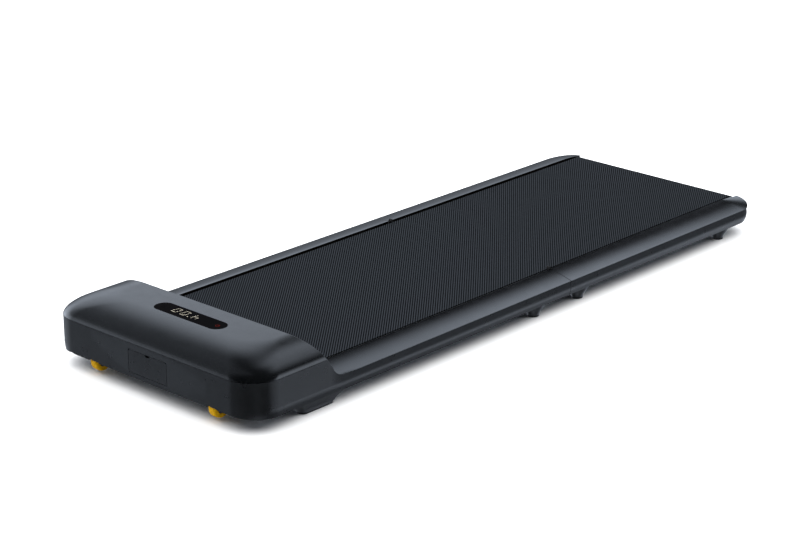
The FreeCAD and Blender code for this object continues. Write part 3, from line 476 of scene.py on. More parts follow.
def round_verts(bm, verts, radius, steps):
    bmesh.ops.bevel(bm, geom=verts, offset=radius, offset_type="OFFSET", segments=steps, profile=0.5,
                    affect="VERTICES", material=-1, clamp_overlap=True)


def round_edges(bm, edges, radius, steps=2):
    bmesh.ops.bevel(bm, geom=edges, offset=radius, offset_type="OFFSET", segments=steps, profile=0.5,
                    affect="EDGES", material=-1, clamp_overlap=True)


def sharp_edges(bm, degrees):
    limit = math.radians(degrees)
    return [e for e in bm.edges if len(e.link_faces) == 2 and e.calc_face_angle(0) > limit]


def crease_edges(bm):
    """The edges along the crease of the outer walls."""
    return [e for e in bm.edges if all(abs(v.co.z - CREASE_Z) < NEAR for v in e.verts)]


def cut(bm, point, normal, **clear):
    everything = bm.verts[:] + bm.edges[:] + bm.faces[:]
    return bmesh.ops.bisect_plane(bm, geom=everything, dist=ON_CUT, plane_co=point, plane_no=normal, **clear)


def cut_both_sides(bm, x):
    for place in (x, -x):
        cut(bm, (place, 0, 0), (1, 0, 0))


def kind_of(made, kind):
    return [g for g in made if isinstance(g, kind)]


def verts_of(edges):
    """The points of some edges, each once and in order."""
    return list(dict.fromkeys(v for e in edges for v in e.verts))


def grow(bm, edges, step):
    """Extrudes a chain of edges by a step and gives the new chain."""
    made = bmesh.ops.extrude_edge_only(bm, edges=edges)["geom"]
    verts = kind_of(made, bmesh.types.BMVert)
    bmesh.ops.translate(bm, vec=step, verts=verts)
    fresh = set(verts)
    return [e for e in kind_of(made, bmesh.types.BMEdge) if set(e.verts) <= fresh]


def chain(bm, points):
    """A line of edges through a few points."""
    verts = [bm.verts.new(p) for p in points]
    return [bm.edges.new(pair) for pair in zip(verts, verts[1:])]


def turn_edges(bm, edges, centre, axis, angle, steps):
    """Spins a chain of edges and gives the chain at the end."""
    made = bmesh.ops.spin(bm, geom=verts_of(edges) + edges, cent=centre, axis=axis, dvec=(0, 0, 0),
                          angle=angle, steps=steps, use_merge=False, use_duplicate=False)
    return kind_of(made["geom_last"], bmesh.types.BMEdge)


def lathe(bm, points, centre, axis, steps):
    """Spins a profile all the way round a centre line."""
    edges = chain(bm, points)
    bmesh.ops.spin(bm, geom=verts_of(edges) + edges, cent=centre, axis=axis, dvec=(0, 0, 0),
                   angle=2 * math.pi, steps=steps, use_merge=True, use_duplicate=False)


def tidy(bm):
    bmesh.ops.remove_doubles(bm, verts=bm.verts[:], dist=SAME_POINT)
    bmesh.ops.dissolve_degenerate(bm, edges=bm.edges[:], dist=NEAR)
    bmesh.ops.recalc_face_normals(bm, faces=bm.faces[:])


def thicken(bm, wall):
    tidy(bm)
    bmesh.ops.solidify(bm, geom=bm.faces[:], thickness=wall)


def mirror_x(bm):
    """Adds the copy on the other side of the pad's middle."""
    everything = bm.verts[:] + bm.edges[:] + bm.faces[:]
    made = bmesh.ops.duplicate(bm, geom=everything)["geom"]
    bmesh.ops.scale(bm, vec=(-1, 1, 1), verts=kind_of(made, bmesh.types.BMVert))
    bmesh.ops.reverse_faces(bm, faces=kind_of(made, bmesh.types.BMFace))


def join_shape(bm, other):
    """Adds another shape's faces to a shape."""
    mesh = bpy.data.meshes.new("joining")
    other.to_mesh(mesh)
    other.free()
    bm.from_mesh(mesh)
    bpy.data.meshes.remove(mesh)


def new_piece(name, bm, finish, sharp):
    """Turns a shape into an object with its finish."""
    bmesh.ops.scale(bm, vec=(MM, MM, MM), verts=bm.verts[:])
    mesh = bpy.data.meshes.new(name)
    bm.to_mesh(mesh)
    bm.free()
    mesh.shade_smooth()
    mesh.set_sharp_from_angle(angle=sharp)
    mesh.materials.append(finish)
    piece = bpy.data.objects.new(name, mesh)
    bpy.context.scene.collection.objects.link(piece)
    return piece


def make_piece(name, bm, body, slot, nodes=(), finish=None):
    """A piece that rides on one body and takes the place of its nodes."""
    piece = new_piece(name, bm, finish or finishes[slot], PIECE_SHARP)
    even = piece.modifiers.new("even_shading", "WEIGHTED_NORMAL")
    even.keep_sharp = True
    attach(piece, body)
    if nodes:
        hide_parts(*nodes)


# Head cover

def head_cover():
    bm = bmesh.new()
    low = SPLIT_Z + SPLIT_GAP
    corners = sheet_face(bm, (-HALF_WIDTH, HALF_WIDTH), (FRONT_Y, COVER_REAR + COVER_SPARE), low)
    round_verts(bm, [v for v in corners if v.co.y < LENS_Y], CORNER_RADIUS, CORNER_STEPS)
    face = bm.faces[:][0]
    inset = 0
    for row in range(1, CROWN_ROWS + 1):
        angle = CROWN_START + (math.pi / 2 - CROWN_START) * row / CROWN_ROWS
        next_inset = CROWN_REACH * (1 - math.cos(angle) / math.cos(CROWN_START))
        share_up = (math.sin(angle) - math.sin(CROWN_START)) / (1 - math.sin(CROWN_START))
        top = low + (COVER_TOP - low) * share_up
        made = bmesh.ops.extrude_face_region(bm, geom=[face])["geom"]
        if row > 1:
            bmesh.ops.delete(bm, geom=[face], context="FACES_ONLY")
        face = kind_of(made, bmesh.types.BMFace)[0]
        step = next_inset - inset
        for v in face.verts:
            v.co.z = top
            v.co.x -= math.copysign(step, v.co.x)
            if v.co.y < FRONT_Y + inset + CORNER_RADIUS + ON_WALL:
                v.co.y += step
        inset = next_inset
    lean = Vector((0, COVER_TOP - SPLIT_Z, COVER_REAR - COVER_REAR_TOP))
    rear = cut(bm, (0, COVER_REAR, SPLIT_Z), lean, clear_outer=True)["geom_cut"]
    bmesh.ops.edgeloop_fill(bm, edges=kind_of(rear, bmesh.types.BMEdge))
    flat = [f for f in bm.faces if all(v.co.z > top - NEAR for v in f.verts)]
    rim = [e for e in bm.edges if all(v.co.z > top - NEAR for v in e.verts)]
    bmesh.ops.delete(bm, geom=flat, context="FACES_ONLY")
    window = pill(bm, LENS_RADIUS + LENS_GAP, top, False)
    rim += dict.fromkeys(e for v in window for e in v.link_edges)
    bmesh.ops.triangle_fill(bm, edges=rim, use_beauty=True)
    bottoms = [f for f in bm.faces if all(abs(v.co.z - low) < NEAR for v in f.verts)]
    bmesh.ops.delete(bm, geom=bottoms, context="FACES_ONLY")
    tidy(bm)
    round_edges(bm, sharp_edges(bm, 30), COVER_EDGE, COVER_EDGE_STEPS)
    thicken(bm, SHELL_WALL)
    lip = [e for e in sharp_edges(bm, 60) if all(v.co.z < low + COVER_LIP_REACH for v in e.verts)]
    round_edges(bm, lip, COVER_LIP, COVER_EDGE_STEPS)
    make_piece("head_cover", bm, "front_section", "cover_gloss", ["head_top_cover"])


# Lower housing with its side arms

def sweep_top(y):
    """Height of the housing's side at a place along the pad."""
    reach = SWEEP_RADIUS * math.tan(SWEEP_SLOPE / 2)
    meet = COVER_REAR + (SPLIT_Z - SKIRT_TOP) / math.tan(SWEEP_SLOPE)
    steep_end = meet - reach * math.cos(SWEEP_SLOPE)
    flat_start = meet + reach
    if y <= COVER_REAR:
        return SPLIT_Z
    if y < steep_end:
        return SPLIT_Z - (y - COVER_REAR) * math.tan(SWEEP_SLOPE)
    if y < flat_start:
        return SKIRT_TOP + SWEEP_RADIUS - math.sqrt(SWEEP_RADIUS ** 2 - (flat_start - y) ** 2)
    return SKIRT_TOP


def way_in(vert):
    """The level direction square to the head's wall, towards its inside."""
    across = HALF_WIDTH - CORNER_RADIUS
    along = FRONT_Y + CORNER_RADIUS
    if vert.co.y > along - ON_WALL:
        return Vector((-math.copysign(1, vert.co.x), 0, 0))
    if abs(vert.co.x) > across:
        return Vector((math.copysign(across, vert.co.x) - vert.co.x, along - vert.co.y, 0)).normalized()
    return Vector((0, 1, 0))


def housing_rim(bm, arch_half):
    """The housing's bottom outline, open at the fold, with points wherever the walls change."""
    corners = sheet_face(bm, (-HALF_WIDTH, HALF_WIDTH), (FRONT_Y, FRONT_END), HOUSING_BOTTOM)
    round_verts(bm, [v for v in corners if v.co.y < 0], CORNER_RADIUS, CORNER_STEPS)
    columns = {DOOR_HALF + DOOR_GAP, TRIM_INNER}
    for k in range(-ARCH_STEPS, ARCH_STEPS + 1):
        columns.add(WHEEL_X + arch_half * math.sin(math.pi / 2 * k / ARCH_STEPS))
    for x in sorted(columns):
        cut_both_sides(bm, x)
    for y in [COVER_REAR + SWEEP_ROW * k for k in range(SWEEP_ROWS)] + [*ARM_ROWS]:
        cut(bm, (0, y, 0), (0, 1, 0))
    rim = [e for e in bm.edges if len(e.link_faces) == 1 and (
        min(v.co.y for v in e.verts) < FRONT_END - AT_END
        or min(abs(v.co.x) for v in e.verts) > TRIM_INNER - AT_END)]
    bmesh.ops.delete(bm, geom=bm.faces[:], context="FACES_ONLY")
    kept = set(rim)
    bmesh.ops.delete(bm, geom=[e for e in bm.edges if e not in kept], context="EDGES")
    bmesh.ops.delete(bm, geom=[v for v in bm.verts if not v.link_edges], context="VERTS")
    return rim


def housing_walls(bm):
    """The housing's walls with the door's opening, the wheel arches and the sweep behind the head."""
    arch_half = math.sqrt(ARCH_RADIUS ** 2 - (FRONT_BOTTOM - ARCH_Z) ** 2)
    bottom = housing_rim(bm, arch_half)
    bottom_verts = verts_of(bottom)
    door_row = DOOR_BOTTOM - DOOR_GAP
    levels = (HOUSING_BOTTOM, CREASE_Z, door_row, DOOR_TOP + DOOR_GAP, SPLIT_Z)
    row = bottom
    for low, high in zip(levels, levels[1:]):
        row = grow(bm, row, (0, 0, high - low))
    for v in bm.verts:
        if abs(v.co.z - door_row) < NEAR and abs(v.co.x) > 2 * DOOR_HALF:
            v.co.z = SIDE_ROW_Z
        if v.co.y > COVER_REAR and v.co.z > CREASE_Z + ABOVE:
            up = (v.co.z - CREASE_Z) / (SPLIT_Z - CREASE_Z)
            top = sweep_top(v.co.y)
            v.co.z = CREASE_Z + (top - CREASE_Z) * up
            if abs(v.co.x) > HALF_WIDTH - ON_WALL:
                v.co.x += SKIRT_LEAN * up * (SPLIT_Z - top) / (SPLIT_Z - SKIRT_TOP) * way_in(v).x
    for v in bottom_verts:
        aside = abs(abs(v.co.x) - WHEEL_X)
        v.co.z += (FRONT_BOTTOM - HOUSING_BOTTOM) * (1 - abs(way_in(v).x))
        if v.co.y < FRONT_Y + AT_END and aside < arch_half:
            v.co.z = ARCH_Z + math.sqrt(ARCH_RADIUS ** 2 - aside ** 2)
        if abs(v.co.x) > HALF_WIDTH - ON_WALL or v.co.y < FRONT_END - AT_END:
            v.co.x += CREASE_IN * way_in(v).x
    middles = {f: f.calc_center_median() for f in bm.faces}
    opening = [f for f, middle in middles.items() if middle.y < FRONT_Y + AT_END
               and abs(middle.x) < DOOR_HALF and DOOR_BOTTOM < middle.z < DOOR_TOP]
    bmesh.ops.delete(bm, geom=opening, context="FACES")
    made = bmesh.ops.extrude_edge_only(bm, edges=bottom)["geom"]
    for v in kind_of(made, bmesh.types.BMVert):
        v.co += way_in(v) * HOUSING_FLANGE
    tidy(bm)
    crease = [e for e in crease_edges(bm) if min(v.co.y for v in e.verts) > FRONT_Y + ON_WALL]
    round_edges(bm, crease, CREASE_ROUND, CREASE_STEPS)
    thicken(bm, SHELL_WALL)
    round_edges(bm, sharp_edges(bm, 60), HOUSING_EDGE)


def wheel_plate():
    """The head's bottom plate with slots for the transport wheels."""
    plate = bmesh.new()
    sheet_face(plate, (-HALF_WIDTH + PLATE_IN, HALF_WIDTH - PLATE_IN), (FRONT_Y + PLATE_IN, PLATE_REAR),
               HOUSING_BOTTOM + PLATE_UP)
    fronts = [v for v in plate.verts if v.co.y < LENS_Y]
    round_verts(plate, fronts, CORNER_RADIUS - PLATE_IN, CORNER_STEPS)
    for x in (WHEEL_X - WHEEL_SLOT_HALF, WHEEL_X + WHEEL_SLOT_HALF):
        cut_both_sides(plate, x)
    slot_end = WHEEL_Y + WHEEL_SLOT_LONG
    cut(plate, (0, slot_end, 0), (0, 1, 0))
    middles = {f: f.calc_center_median() for f in plate.faces}
    slots = [f for f, middle in middles.items()
             if abs(abs(middle.x) - WHEEL_X) < WHEEL_SLOT_HALF and middle.y < slot_end]
    bmesh.ops.delete(plate, geom=slots, context="FACES")
    thicken(plate, -PLATE_WALL)
    return plate


def rear_panel():
    """The sloping panel between the head cover and the belt."""
    panel = bmesh.new()
    sheet_face(panel, (-PANEL_HALF, PANEL_HALF), (-1, 0), 0)
    for v in panel.verts:
        place = PANEL_TOP if v.co.y < -0.5 else PANEL_FOOT
        v.co = Vector((v.co.x, *place))
    bmesh.ops.subdivide_edges(panel, edges=panel.edges[:], cuts=2, use_grid_fill=True)
    thicken(panel, PANEL_WALL)
    return panel


def lower_housing():
    bm = bmesh.new()
    housing_walls(bm)
    join_shape(bm, wheel_plate())
    arm_low = HOUSING_BOTTOM + PLATE_UP
    for side in (-1, 1):
        arm = sorted((side * ARM_INNER, side * ARM_OUTER))
        block(bm, arm, (ARM_START, FRONT_END), (arm_low, arm_low + PLATE_WALL))
    join_shape(bm, rear_panel())
    make_piece("lower_housing", bm, "front_section", "housing_matte", ["front_lower_housing"])


# Rail trims and rear skirts

def trim_arc():
    """Turn, radius and middle of the arc that crowns the trims."""
    wide = TRIM_EDGE_X - TRIM_INNER
    fall = TRIM_CROWN - TRIM_EDGE_Z
    turn = 2 * (math.atan2(fall, wide) - TRIM_TILT)
    radius = math.hypot(wide, fall) / (2 * math.sin(turn / 2))
    middle = (TRIM_INNER - radius * math.sin(TRIM_TILT), TRIM_CROWN - radius * math.cos(TRIM_TILT))
    return turn, radius, middle


def trim_height(x):
    _, radius, (middle_x, middle_z) = trim_arc()
    return middle_z + math.sqrt(radius ** 2 - (x - middle_x) ** 2)


def trim_profile(bm, y):
    """The trim's closed cross-section at one place along the pad."""
    turn, _, (middle_x, middle_z) = trim_arc()
    start = bm.verts.new((TRIM_INNER, y, TRIM_CROWN))
    bmesh.ops.spin(bm, geom=[start], cent=(middle_x, y, middle_z), axis=(0, 1, 0), dvec=(0, 0, 0),
                   angle=turn, steps=TRIM_STEPS, use_merge=False, use_duplicate=False)
    outer = max(bm.verts, key=lambda v: v.co.x)
    lip = bm.verts.new((outer.co.x, y, TRIM_UNDER))
    under = bm.verts.new((TRIM_INNER + TRIM_WEB, y, TRIM_UNDER))
    foot = bm.verts.new((TRIM_INNER + TRIM_WEB, y, TRIM_FOOT))
    inner = bm.verts.new((TRIM_INNER, y, TRIM_FOOT))
    for pair in ((outer, lip), (lip, under), (under, foot), (foot, inner), (inner, start)):
        bm.edges.new(pair)
    made = bmesh.ops.edgeloop_fill(bm, edges=bm.edges[:])
    return made["faces"][0]


def trim_length(bm, start, end):
    """A straight length of trim, with what its far end is made of."""
    face = trim_profile(bm, start)
    made = bmesh.ops.extrude_face_region(bm, geom=[face])["geom"]
    bmesh.ops.translate(bm, vec=(0, end - start, 0), verts=kind_of(made, bmesh.types.BMVert))
    return made


def front_trims():
    bm = bmesh.new()
    trim_length(bm, TRIM_FRONT, FRONT_END)
    begin, end = TRIM_FLARE
    for k in range(FLARE_ROWS + 1):
        cut(bm, (0, begin + (end - begin) * k / FLARE_ROWS, 0), (0, 1, 0))
    for v in bm.verts:
        share = min(max((v.co.y - begin) / (end - begin), 0), 1)
        widest = TRIM_HIDDEN_X + (TRIM_EDGE_X - TRIM_HIDDEN_X) * math.sin(share * math.pi / 2)
        v.co.x = min(v.co.x, widest)
    tidy(bm)
    round_edges(bm, sharp_edges(bm, 40), TRIM_ROUND)
    mirror_x(bm)
    make_piece("front_rail_covers", bm, "front_section", "trim_satin", ["front_rail_trims"])


def rear_trims():
    bm = bmesh.new()
    made = trim_length(bm, REAR_START, TAIL_TURN_Y)
    last = kind_of(made, bmesh.types.BMFace)[0]
    bmesh.ops.spin(bm, geom=[last] + last.edges[:] + last.verts[:], cent=(TRIM_INNER, TAIL_TURN_Y, 0),
                   axis=(0, 0, 1), dvec=(0, 0, 0), angle=math.pi / 2, steps=TAIL_STEPS, use_merge=False,
                   use_duplicate=False)
    inside = [f for f in bm.faces if all(abs(v.co.y - TAIL_TURN_Y) < NEAR for v in f.verts)]
    bmesh.ops.delete(bm, geom=inside, context="FACES_ONLY")
    for v in bm.verts:
        behind = v.co.y - TAIL_TURN_Y
        if behind > NEAR and v.co.z > TRIM_UNDER + ABOVE:
            reach = math.hypot(behind, v.co.x - TRIM_INNER)
            level = trim_height(v.co.x)
            v.co.z = level + TAIL_DOME * (trim_height(TRIM_INNER + reach) - level)
    tidy(bm)
    round_edges(bm, sharp_edges(bm, 50), TRIM_ROUND)
    mirror_x(bm)
    make_piece("rear_rail_covers", bm, "rear_section", "trim_satin", ["rear_rail_trims"])


def rear_skirts():
    bm = bmesh.new()
    outline = ((SKIRT_INNER, HOUSING_BOTTOM), (HALF_WIDTH - CREASE_IN, HOUSING_BOTTOM),
               (HALF_WIDTH, CREASE_Z), (HALF_WIDTH - SKIRT_LEAN, SKIRT_TOP))
    first = chain(bm, [(x, REAR_START, z) for x, z in outline])
    bmesh.ops.contextual_create(bm, geom=verts_of(first))
    row = grow(bm, first, (0, TAIL_TURN_Y - REAR_START, 0))
    last = turn_edges(bm, row, (TRIM_INNER, TAIL_TURN_Y, 0), (0, 0, 1), math.pi / 2, TAIL_STEPS)
    bmesh.ops.contextual_create(bm, geom=verts_of(last))
    tidy(bm)
    crease = [e for e in crease_edges(bm) if len(e.link_faces) == 2 and e.calc_face_angle(0) < SKIRT_BEND]
    round_edges(bm, crease, CREASE_ROUND, CREASE_STEPS)
    thicken(bm, SHELL_WALL)
    round_edges(bm, sharp_edges(bm, 60), SKIRT_EDGE)
    mirror_x(bm)
    make_piece("tail_skirts", bm, "rear_section", "housing_matte", ["rear_skirts"])


# Walking belt

def walking_belt():
    bm = bmesh.new()
    row = chain(bm, [(x, DRIVE_Y, BELT_TOP) for x in (BELT_HALF, -BELT_HALF)])
    stops = [DRIVE_Y + BELT_ROW * k for k in range(1, FRONT_BELT_ROWS + 1)]
    stops += [FOLD_Y - FOLD_BEND + 2 * FOLD_BEND * k / FOLD_ROWS for k in range(FOLD_ROWS + 1)]
    stops += [FOLD_Y + BELT_ROW * k for k in range(1, REAR_BELT_ROWS + 1)] + [REAR_ROLLER_Y]
    here = DRIVE_Y
    for y in stops:
        row = grow(bm, row, (0, y - here, 0))
        here = y
    row = turn_edges(bm, row, (0, REAR_ROLLER_Y, AXLE_Z), (-1, 0, 0), math.pi, WRAP_STEPS)
    for y in reversed([DRIVE_Y] + stops[:-1]):
        row = grow(bm, row, (0, y - here, 0))
        here = y
    turn_edges(bm, row, (0, DRIVE_Y, AXLE_Z), (-1, 0, 0), math.pi, WRAP_STEPS)
    thicken(bm, BELT_THICK)
    bmesh.ops.recalc_face_normals(bm, faces=bm.faces[:])
    belt = new_piece("walking_belt", bm, finishes["belt_rubber"], BELT_SHARP)
    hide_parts("walking_belt_front", "walking_belt_rear")
    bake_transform(belt)


# Feet

def turned_foot(bm, place, points, steps, run):
    """Turns a profile about an upright line, stretches it along the pad and sets it in place."""
    before = set(bm.verts)
    lathe(bm, points, (0, 0, 0), (0, 0, 1), steps)
    mine = [v for v in bm.verts if v not in before]
    for v in mine:
        if run and abs(v.co.y) > NEAR:
            v.co.y += math.copysign(run(v.co.z), v.co.y)
    bmesh.ops.translate(bm, vec=(FOOT_X, place, 0), verts=mine)


def foot_shape(bm, place, half_long):
    """A flared round foot, or a long one whose ends slope."""
    high = HOUSING_BOTTOM - PAD_HIGH
    rows = [(PAD_HIGH + high * up, PAD_RADIUS + (FOOT_RADIUS - PAD_RADIUS) * out) for up, out in FOOT_CURVE]
    points = [(0, 0, PAD_HIGH)] + [(radius, 0, z) for z, radius in rows]

    def run(z):
        radius = min(rows, key=lambda row: abs(row[0] - z))[1]
        return half_long + LONG_FOOT_SLOPE * (z - PAD_HIGH) / high - radius

    turned_foot(bm, place, points, FOOT_STEPS, run if half_long else None)


def pad_shape(bm, place, half_long):
    """A rubber pad with a ring groove underneath."""
    points = [(0, 0, 0)]
    points += [(PAD_RADIUS * share, 0, z) for share, z in PAD_GROOVE]
    points += [(PAD_RADIUS - back, 0, z) for back, z in PAD_RIM]
    points.append((0, 0, PAD_HIGH))

    def run(z):
        return half_long - PAD_RADIUS

    turned_foot(bm, place, points, PAD_STEPS, run if half_long else None)


def feet():
    head = (LONG_FOOT_Y, LONG_FOOT_HALF)
    front, rear, tail = ((y, 0) for y in (*FOLD_FEET_Y, TAIL_FOOT_Y))
    sets = (
        ("long_feet", "front_section", "housing_matte", "head_long_feet", (head,), foot_shape),
        ("fold_feet", "front_section", "housing_matte", "front_fold_feet", (front,), foot_shape),
        ("tail_feet", "rear_section", "housing_matte", "rear_feet", (rear, tail), foot_shape),
        ("front_pads", "front_section", "black_rubber", "front_foot_pads", (head, front), pad_shape),
        ("rear_pads", "rear_section", "black_rubber", "rear_foot_pads", (rear, tail), pad_shape),
    )
    for name, body, slot, node, places, shape in sets:
        bm = bmesh.new()
        for place, half_long in places:
            shape(bm, place, half_long)
        tidy(bm)
        mirror_x(bm)
        make_piece(name, bm, body, slot, [node], finishes["foot_satin"] if shape is foot_shape else None)


# Transport wheels

def wheel_ring(x, flank, steps):
    """A ring about a wheel's axle, from half of its outline."""
    bm = bmesh.new()
    points = flank + [(-across, radius) for across, radius in reversed(flank)]
    points.append(points[0])
    outline = [(x + across, WHEEL_Y, WHEEL_Z + radius) for across, radius in points]
    lathe(bm, outline, (x, WHEEL_Y, WHEEL_Z), (1, 0, 0), steps)
    tidy(bm)
    return bm


def wheels():
    shoulder = WHEEL_RADIUS - TYRE_ROUND
    tyre = [(-WHEEL_HALF + inward, radius) for inward, radius in (*TYRE_FLANK, (0, shoulder))]
    for angle in map(math.radians, TYRE_ANGLES):
        inward = TYRE_ROUND - TYRE_ROUND * math.cos(angle)
        tyre.append((-WHEEL_HALF + inward, shoulder + TYRE_ROUND * math.sin(angle)))
    hub = [(-WHEEL_HALF + inward, radius) for inward, radius in HUB_FLANK]
    for side, name in ((1, "right"), (-1, "left")):
        x = side * WHEEL_X
        make_piece(f"{name}_wheel_tyre", wheel_ring(x, tyre, TYRE_STEPS), f"wheel_{name}", "wheel_amber",
                   [f"transport_wheel_{name}"])
        make_piece(f"{name}_wheel_hub", wheel_ring(x, hub, HUB_STEPS), f"wheel_{name}", "black_plastic")


# Display

def display_window():
    bm = bmesh.new()
    pill(bm, LENS_RADIUS, COVER_TOP - LENS_DEEP, True)
    raised = bmesh.ops.extrude_face_region(bm, geom=bm.faces[:])["geom"]
    bmesh.ops.translate(bm, vec=(0, 0, LENS_THICK), verts=kind_of(raised, bmesh.types.BMVert))
    tidy(bm)
    round_edges(bm, sharp_edges(bm, 60), LENS_EDGE)
    make_piece("display_window", bm, "front_section", "lens_black", ["display_lens"])


def display_digits():
    """Slanted seven-bar digits that read from the belt's side, with a point between them."""
    about = Matrix.Rotation(math.pi, 3, "Z")
    bm = bmesh.new()
    for sign, centre in DIGITS:
        for key in SEGMENTS[sign]:
            across, along, (wide, high) = SEGMENT_PLACES[key]
            verts = block(bm, (-wide / 2, wide / 2), (-high / 2, high / 2), (0, PRINT_HIGH))
            move = (across * (DIGIT_WIDE - DIGIT_STROKE) / 2, along * DIGIT_HIGH / 2, 0)
            bmesh.ops.translate(bm, vec=move, verts=verts)
            for v in verts:
                v.co.x += v.co.y * DIGIT_SLANT
            bmesh.ops.rotate(bm, cent=(0, 0, 0), matrix=about, verts=verts)
            bmesh.ops.translate(bm, vec=(centre, LENS_Y + DIGIT_BACK, PRINT_Z), verts=verts)
    point = block(bm, (-POINT_HALF, POINT_HALF), (-POINT_HALF, POINT_HALF), (0, PRINT_HIGH))
    bmesh.ops.translate(bm, vec=(POINT_X, LENS_Y - POINT_FORWARD, PRINT_Z), verts=point)
    glow = glowing("display_glow", *DIGIT_GLOW)
    make_piece("display_digits", bm, "front_section", "lens_black", finish=glow)


def display_marks():
    """The ringed marks at the two ends of the window."""
    inner, outer = MARK_RING
    ring = [(inner, 0, 0), (outer, 0, 0), (outer, 0, PRINT_HIGH), (inner, 0, PRINT_HIGH), (inner, 0, 0)]
    for name, x, tone, power in MARKS:
        bm = bmesh.new()
        lathe(bm, ring, (0, 0, 0), (0, 0, 1), MARK_STEPS)
        block(bm, (-MARK_STEM_HALF, MARK_STEM_HALF), MARK_STEM, (0, PRINT_HIGH))
        tidy(bm)
        bmesh.ops.translate(bm, vec=(x, LENS_Y, PRINT_Z), verts=bm.verts[:])
        make_piece(name, bm, "front_section", "lens_black", finish=glowing(f"{name}_glow", tone, power))


# Socket door

def socket_door():
    bm = bmesh.new()
    sheet_face(bm, (-DOOR_HALF, DOOR_HALF), (DOOR_BOTTOM, DOOR_TOP), 0)
    tops = [v for v in bm.verts if v.co.y > DOOR_BOTTOM + AT_END]
    round_verts(bm, tops, DOOR_CORNER, DOOR_CORNER_STEPS)
    for x in (-NOTCH_HALF, NOTCH_HALF):
        cut(bm, (x, 0, 0), (1, 0, 0))
    notch_y = DOOR_TOP - NOTCH_DEEP
    cut(bm, (0, notch_y, 0), (0, 1, 0))
    middles = {f: f.calc_center_median() for f in bm.faces}
    notch = [f for f, middle in middles.items() if abs(middle.x) < NOTCH_HALF and middle.y > notch_y]
    bmesh.ops.delete(bm, geom=notch, context="FACES")
    for v in bm.verts:
        if abs(abs(v.co.x) - NOTCH_HALF) < NEAR and abs(v.co.y - notch_y) < NEAR:
            v.co.x *= NOTCH_TAPER
    for v in bm.verts:
        v.co = Vector((v.co.x, FRONT_Y, v.co.y))
    thicken(bm, SHELL_WALL)
    round_edges(bm, sharp_edges(bm, 60), DOOR_EDGE)
    upright = Matrix.Rotation(math.pi / 2, 3, "Y")
    for x in KNUCKLES_X:
        knuckle = bmesh.ops.create_cone(bm, cap_ends=True, segments=KNUCKLE_STEPS, radius1=KNUCKLE_RADIUS,
                                        radius2=KNUCKLE_RADIUS, depth=KNUCKLE_LONG)["verts"]
        bmesh.ops.rotate(bm, cent=(0, 0, 0), matrix=upright, verts=knuckle)
        bmesh.ops.translate(bm, vec=(x, DOOR_AXIS_Y, DOOR_AXIS_Z), verts=knuckle)
    make_piece("socket_flap", bm, "socket_door", "housing_matte", ["socket_door"])


head_cover()
lower_housing()
front_trims()
rear_trims()
rear_skirts()
walking_belt()
feet()
wheels()
display_window()
display_digits()
display_marks()
socket_door()


# Floor, light and camera

FLOOR_HALF = 12
FLOOR_DROP = 0.0005
FLOOR_TONE = 0.9

# Light in the studio by the height of a direction and by its turn, both from 0 to 1
SKY = (
    ((0.0, 0.05), (0.1, 0.08), (0.18, 0.3), (0.24, 1.4), (0.28, 1.1), (0.31, 0.45), (0.328, 0.33),
     (0.4, 0.2), (0.47, 0.12), (0.55, 0.3), (0.59, 0.75), (0.62, 1.15), (0.64, 1.2), (0.675, 1.2),
     (0.695, 0.45), (0.715, 0.06), (0.76, 0.03), (1.0, 0.01)),
    ((0.0, 1.1), (0.095, 0.75), (0.107, 0.46), (0.12, 0.2), (0.135, 0.18), (0.23, 0.15), (0.28, 0.06),
     (0.375, 0.04), (0.395, 0.2), (0.415, 0.2), (0.44, 0.0), (0.52, 0.0), (0.545, 0.8), (0.64, 1.05),
     (0.8, 0.9), (0.862, 1.0), (0.9, 1.2), (1.0, 1.1)),
)
REAR_WINDOW = (
    ((0.0, 0.0), (0.765, 0.0), (0.84, 1.2), (0.92, 1.3), (0.97, 0.0), (1.0, 0.0)),
    ((0.0, 0.0), (0.64, 0.0), (0.73, 1.0), (0.84, 1.0), (0.865, 0.3), (0.9, 0.0), (1.0, 0.0)),
)
TAIL_WINDOW = (
    ((0.0, 0.0), (0.752, 0.0), (0.785, 1.1), (0.81, 1.3), (0.835, 0.5), (0.855, 0.0), (1.0, 0.0)),
    ((0.0, 0.0), (0.76, 0.0), (0.785, 1.0), (0.812, 0.9), (0.83, 0.3), (0.845, 0.0), (1.0, 0.0)),
)
CROWN_GLOW = (
    ((0.0, 0.0), (0.68, 0.0), (0.715, 1.15), (0.78, 1.05), (0.825, 0.4), (0.85, 0.1), (0.88, 0.0),
     (1.0, 0.0)),
    ((0.0, 0.2), (0.05, 0.0), (0.866, 0.0), (0.88, 1.0), (0.94, 1.0), (1.0, 0.2)),
)
FRONT_GLOW = (
    ((0.0, 0.0), (0.4, 0.0), (0.46, 2.2), (0.5, 3.2), (0.55, 3.0), (0.63, 1.2), (0.72, 0.42), (0.8, 0.27),
     (1.0, 0.2)),
    ((0.0, 1.0), (0.09, 1.0), (0.108, 0.75), (0.118, 0.45), (0.13, 0.25), (0.15, 0.12), (0.2, 0.0),
     (0.93, 0.0), (0.97, 0.6), (1.0, 1.0)),
)
FLOOR_GLOW = (
    ((0.0, 0.9), (0.06, 0.9), (0.14, 0.0), (1.0, 0.0)),
    ((0.0, 0.0), (0.2, 0.0), (0.3, 1.0), (0.45, 1.0), (0.56, 0.0), (1.0, 0.0)),
)
SKY_TINT = (0.905, 1.0, 1.15)
SIDE_GLOW_WAY = (0.671, 0.695, 0.259)
SIDE_GLOW_SPAN = (0.945, 0.99)
SIDE_GLOW_LEVEL = 1.3

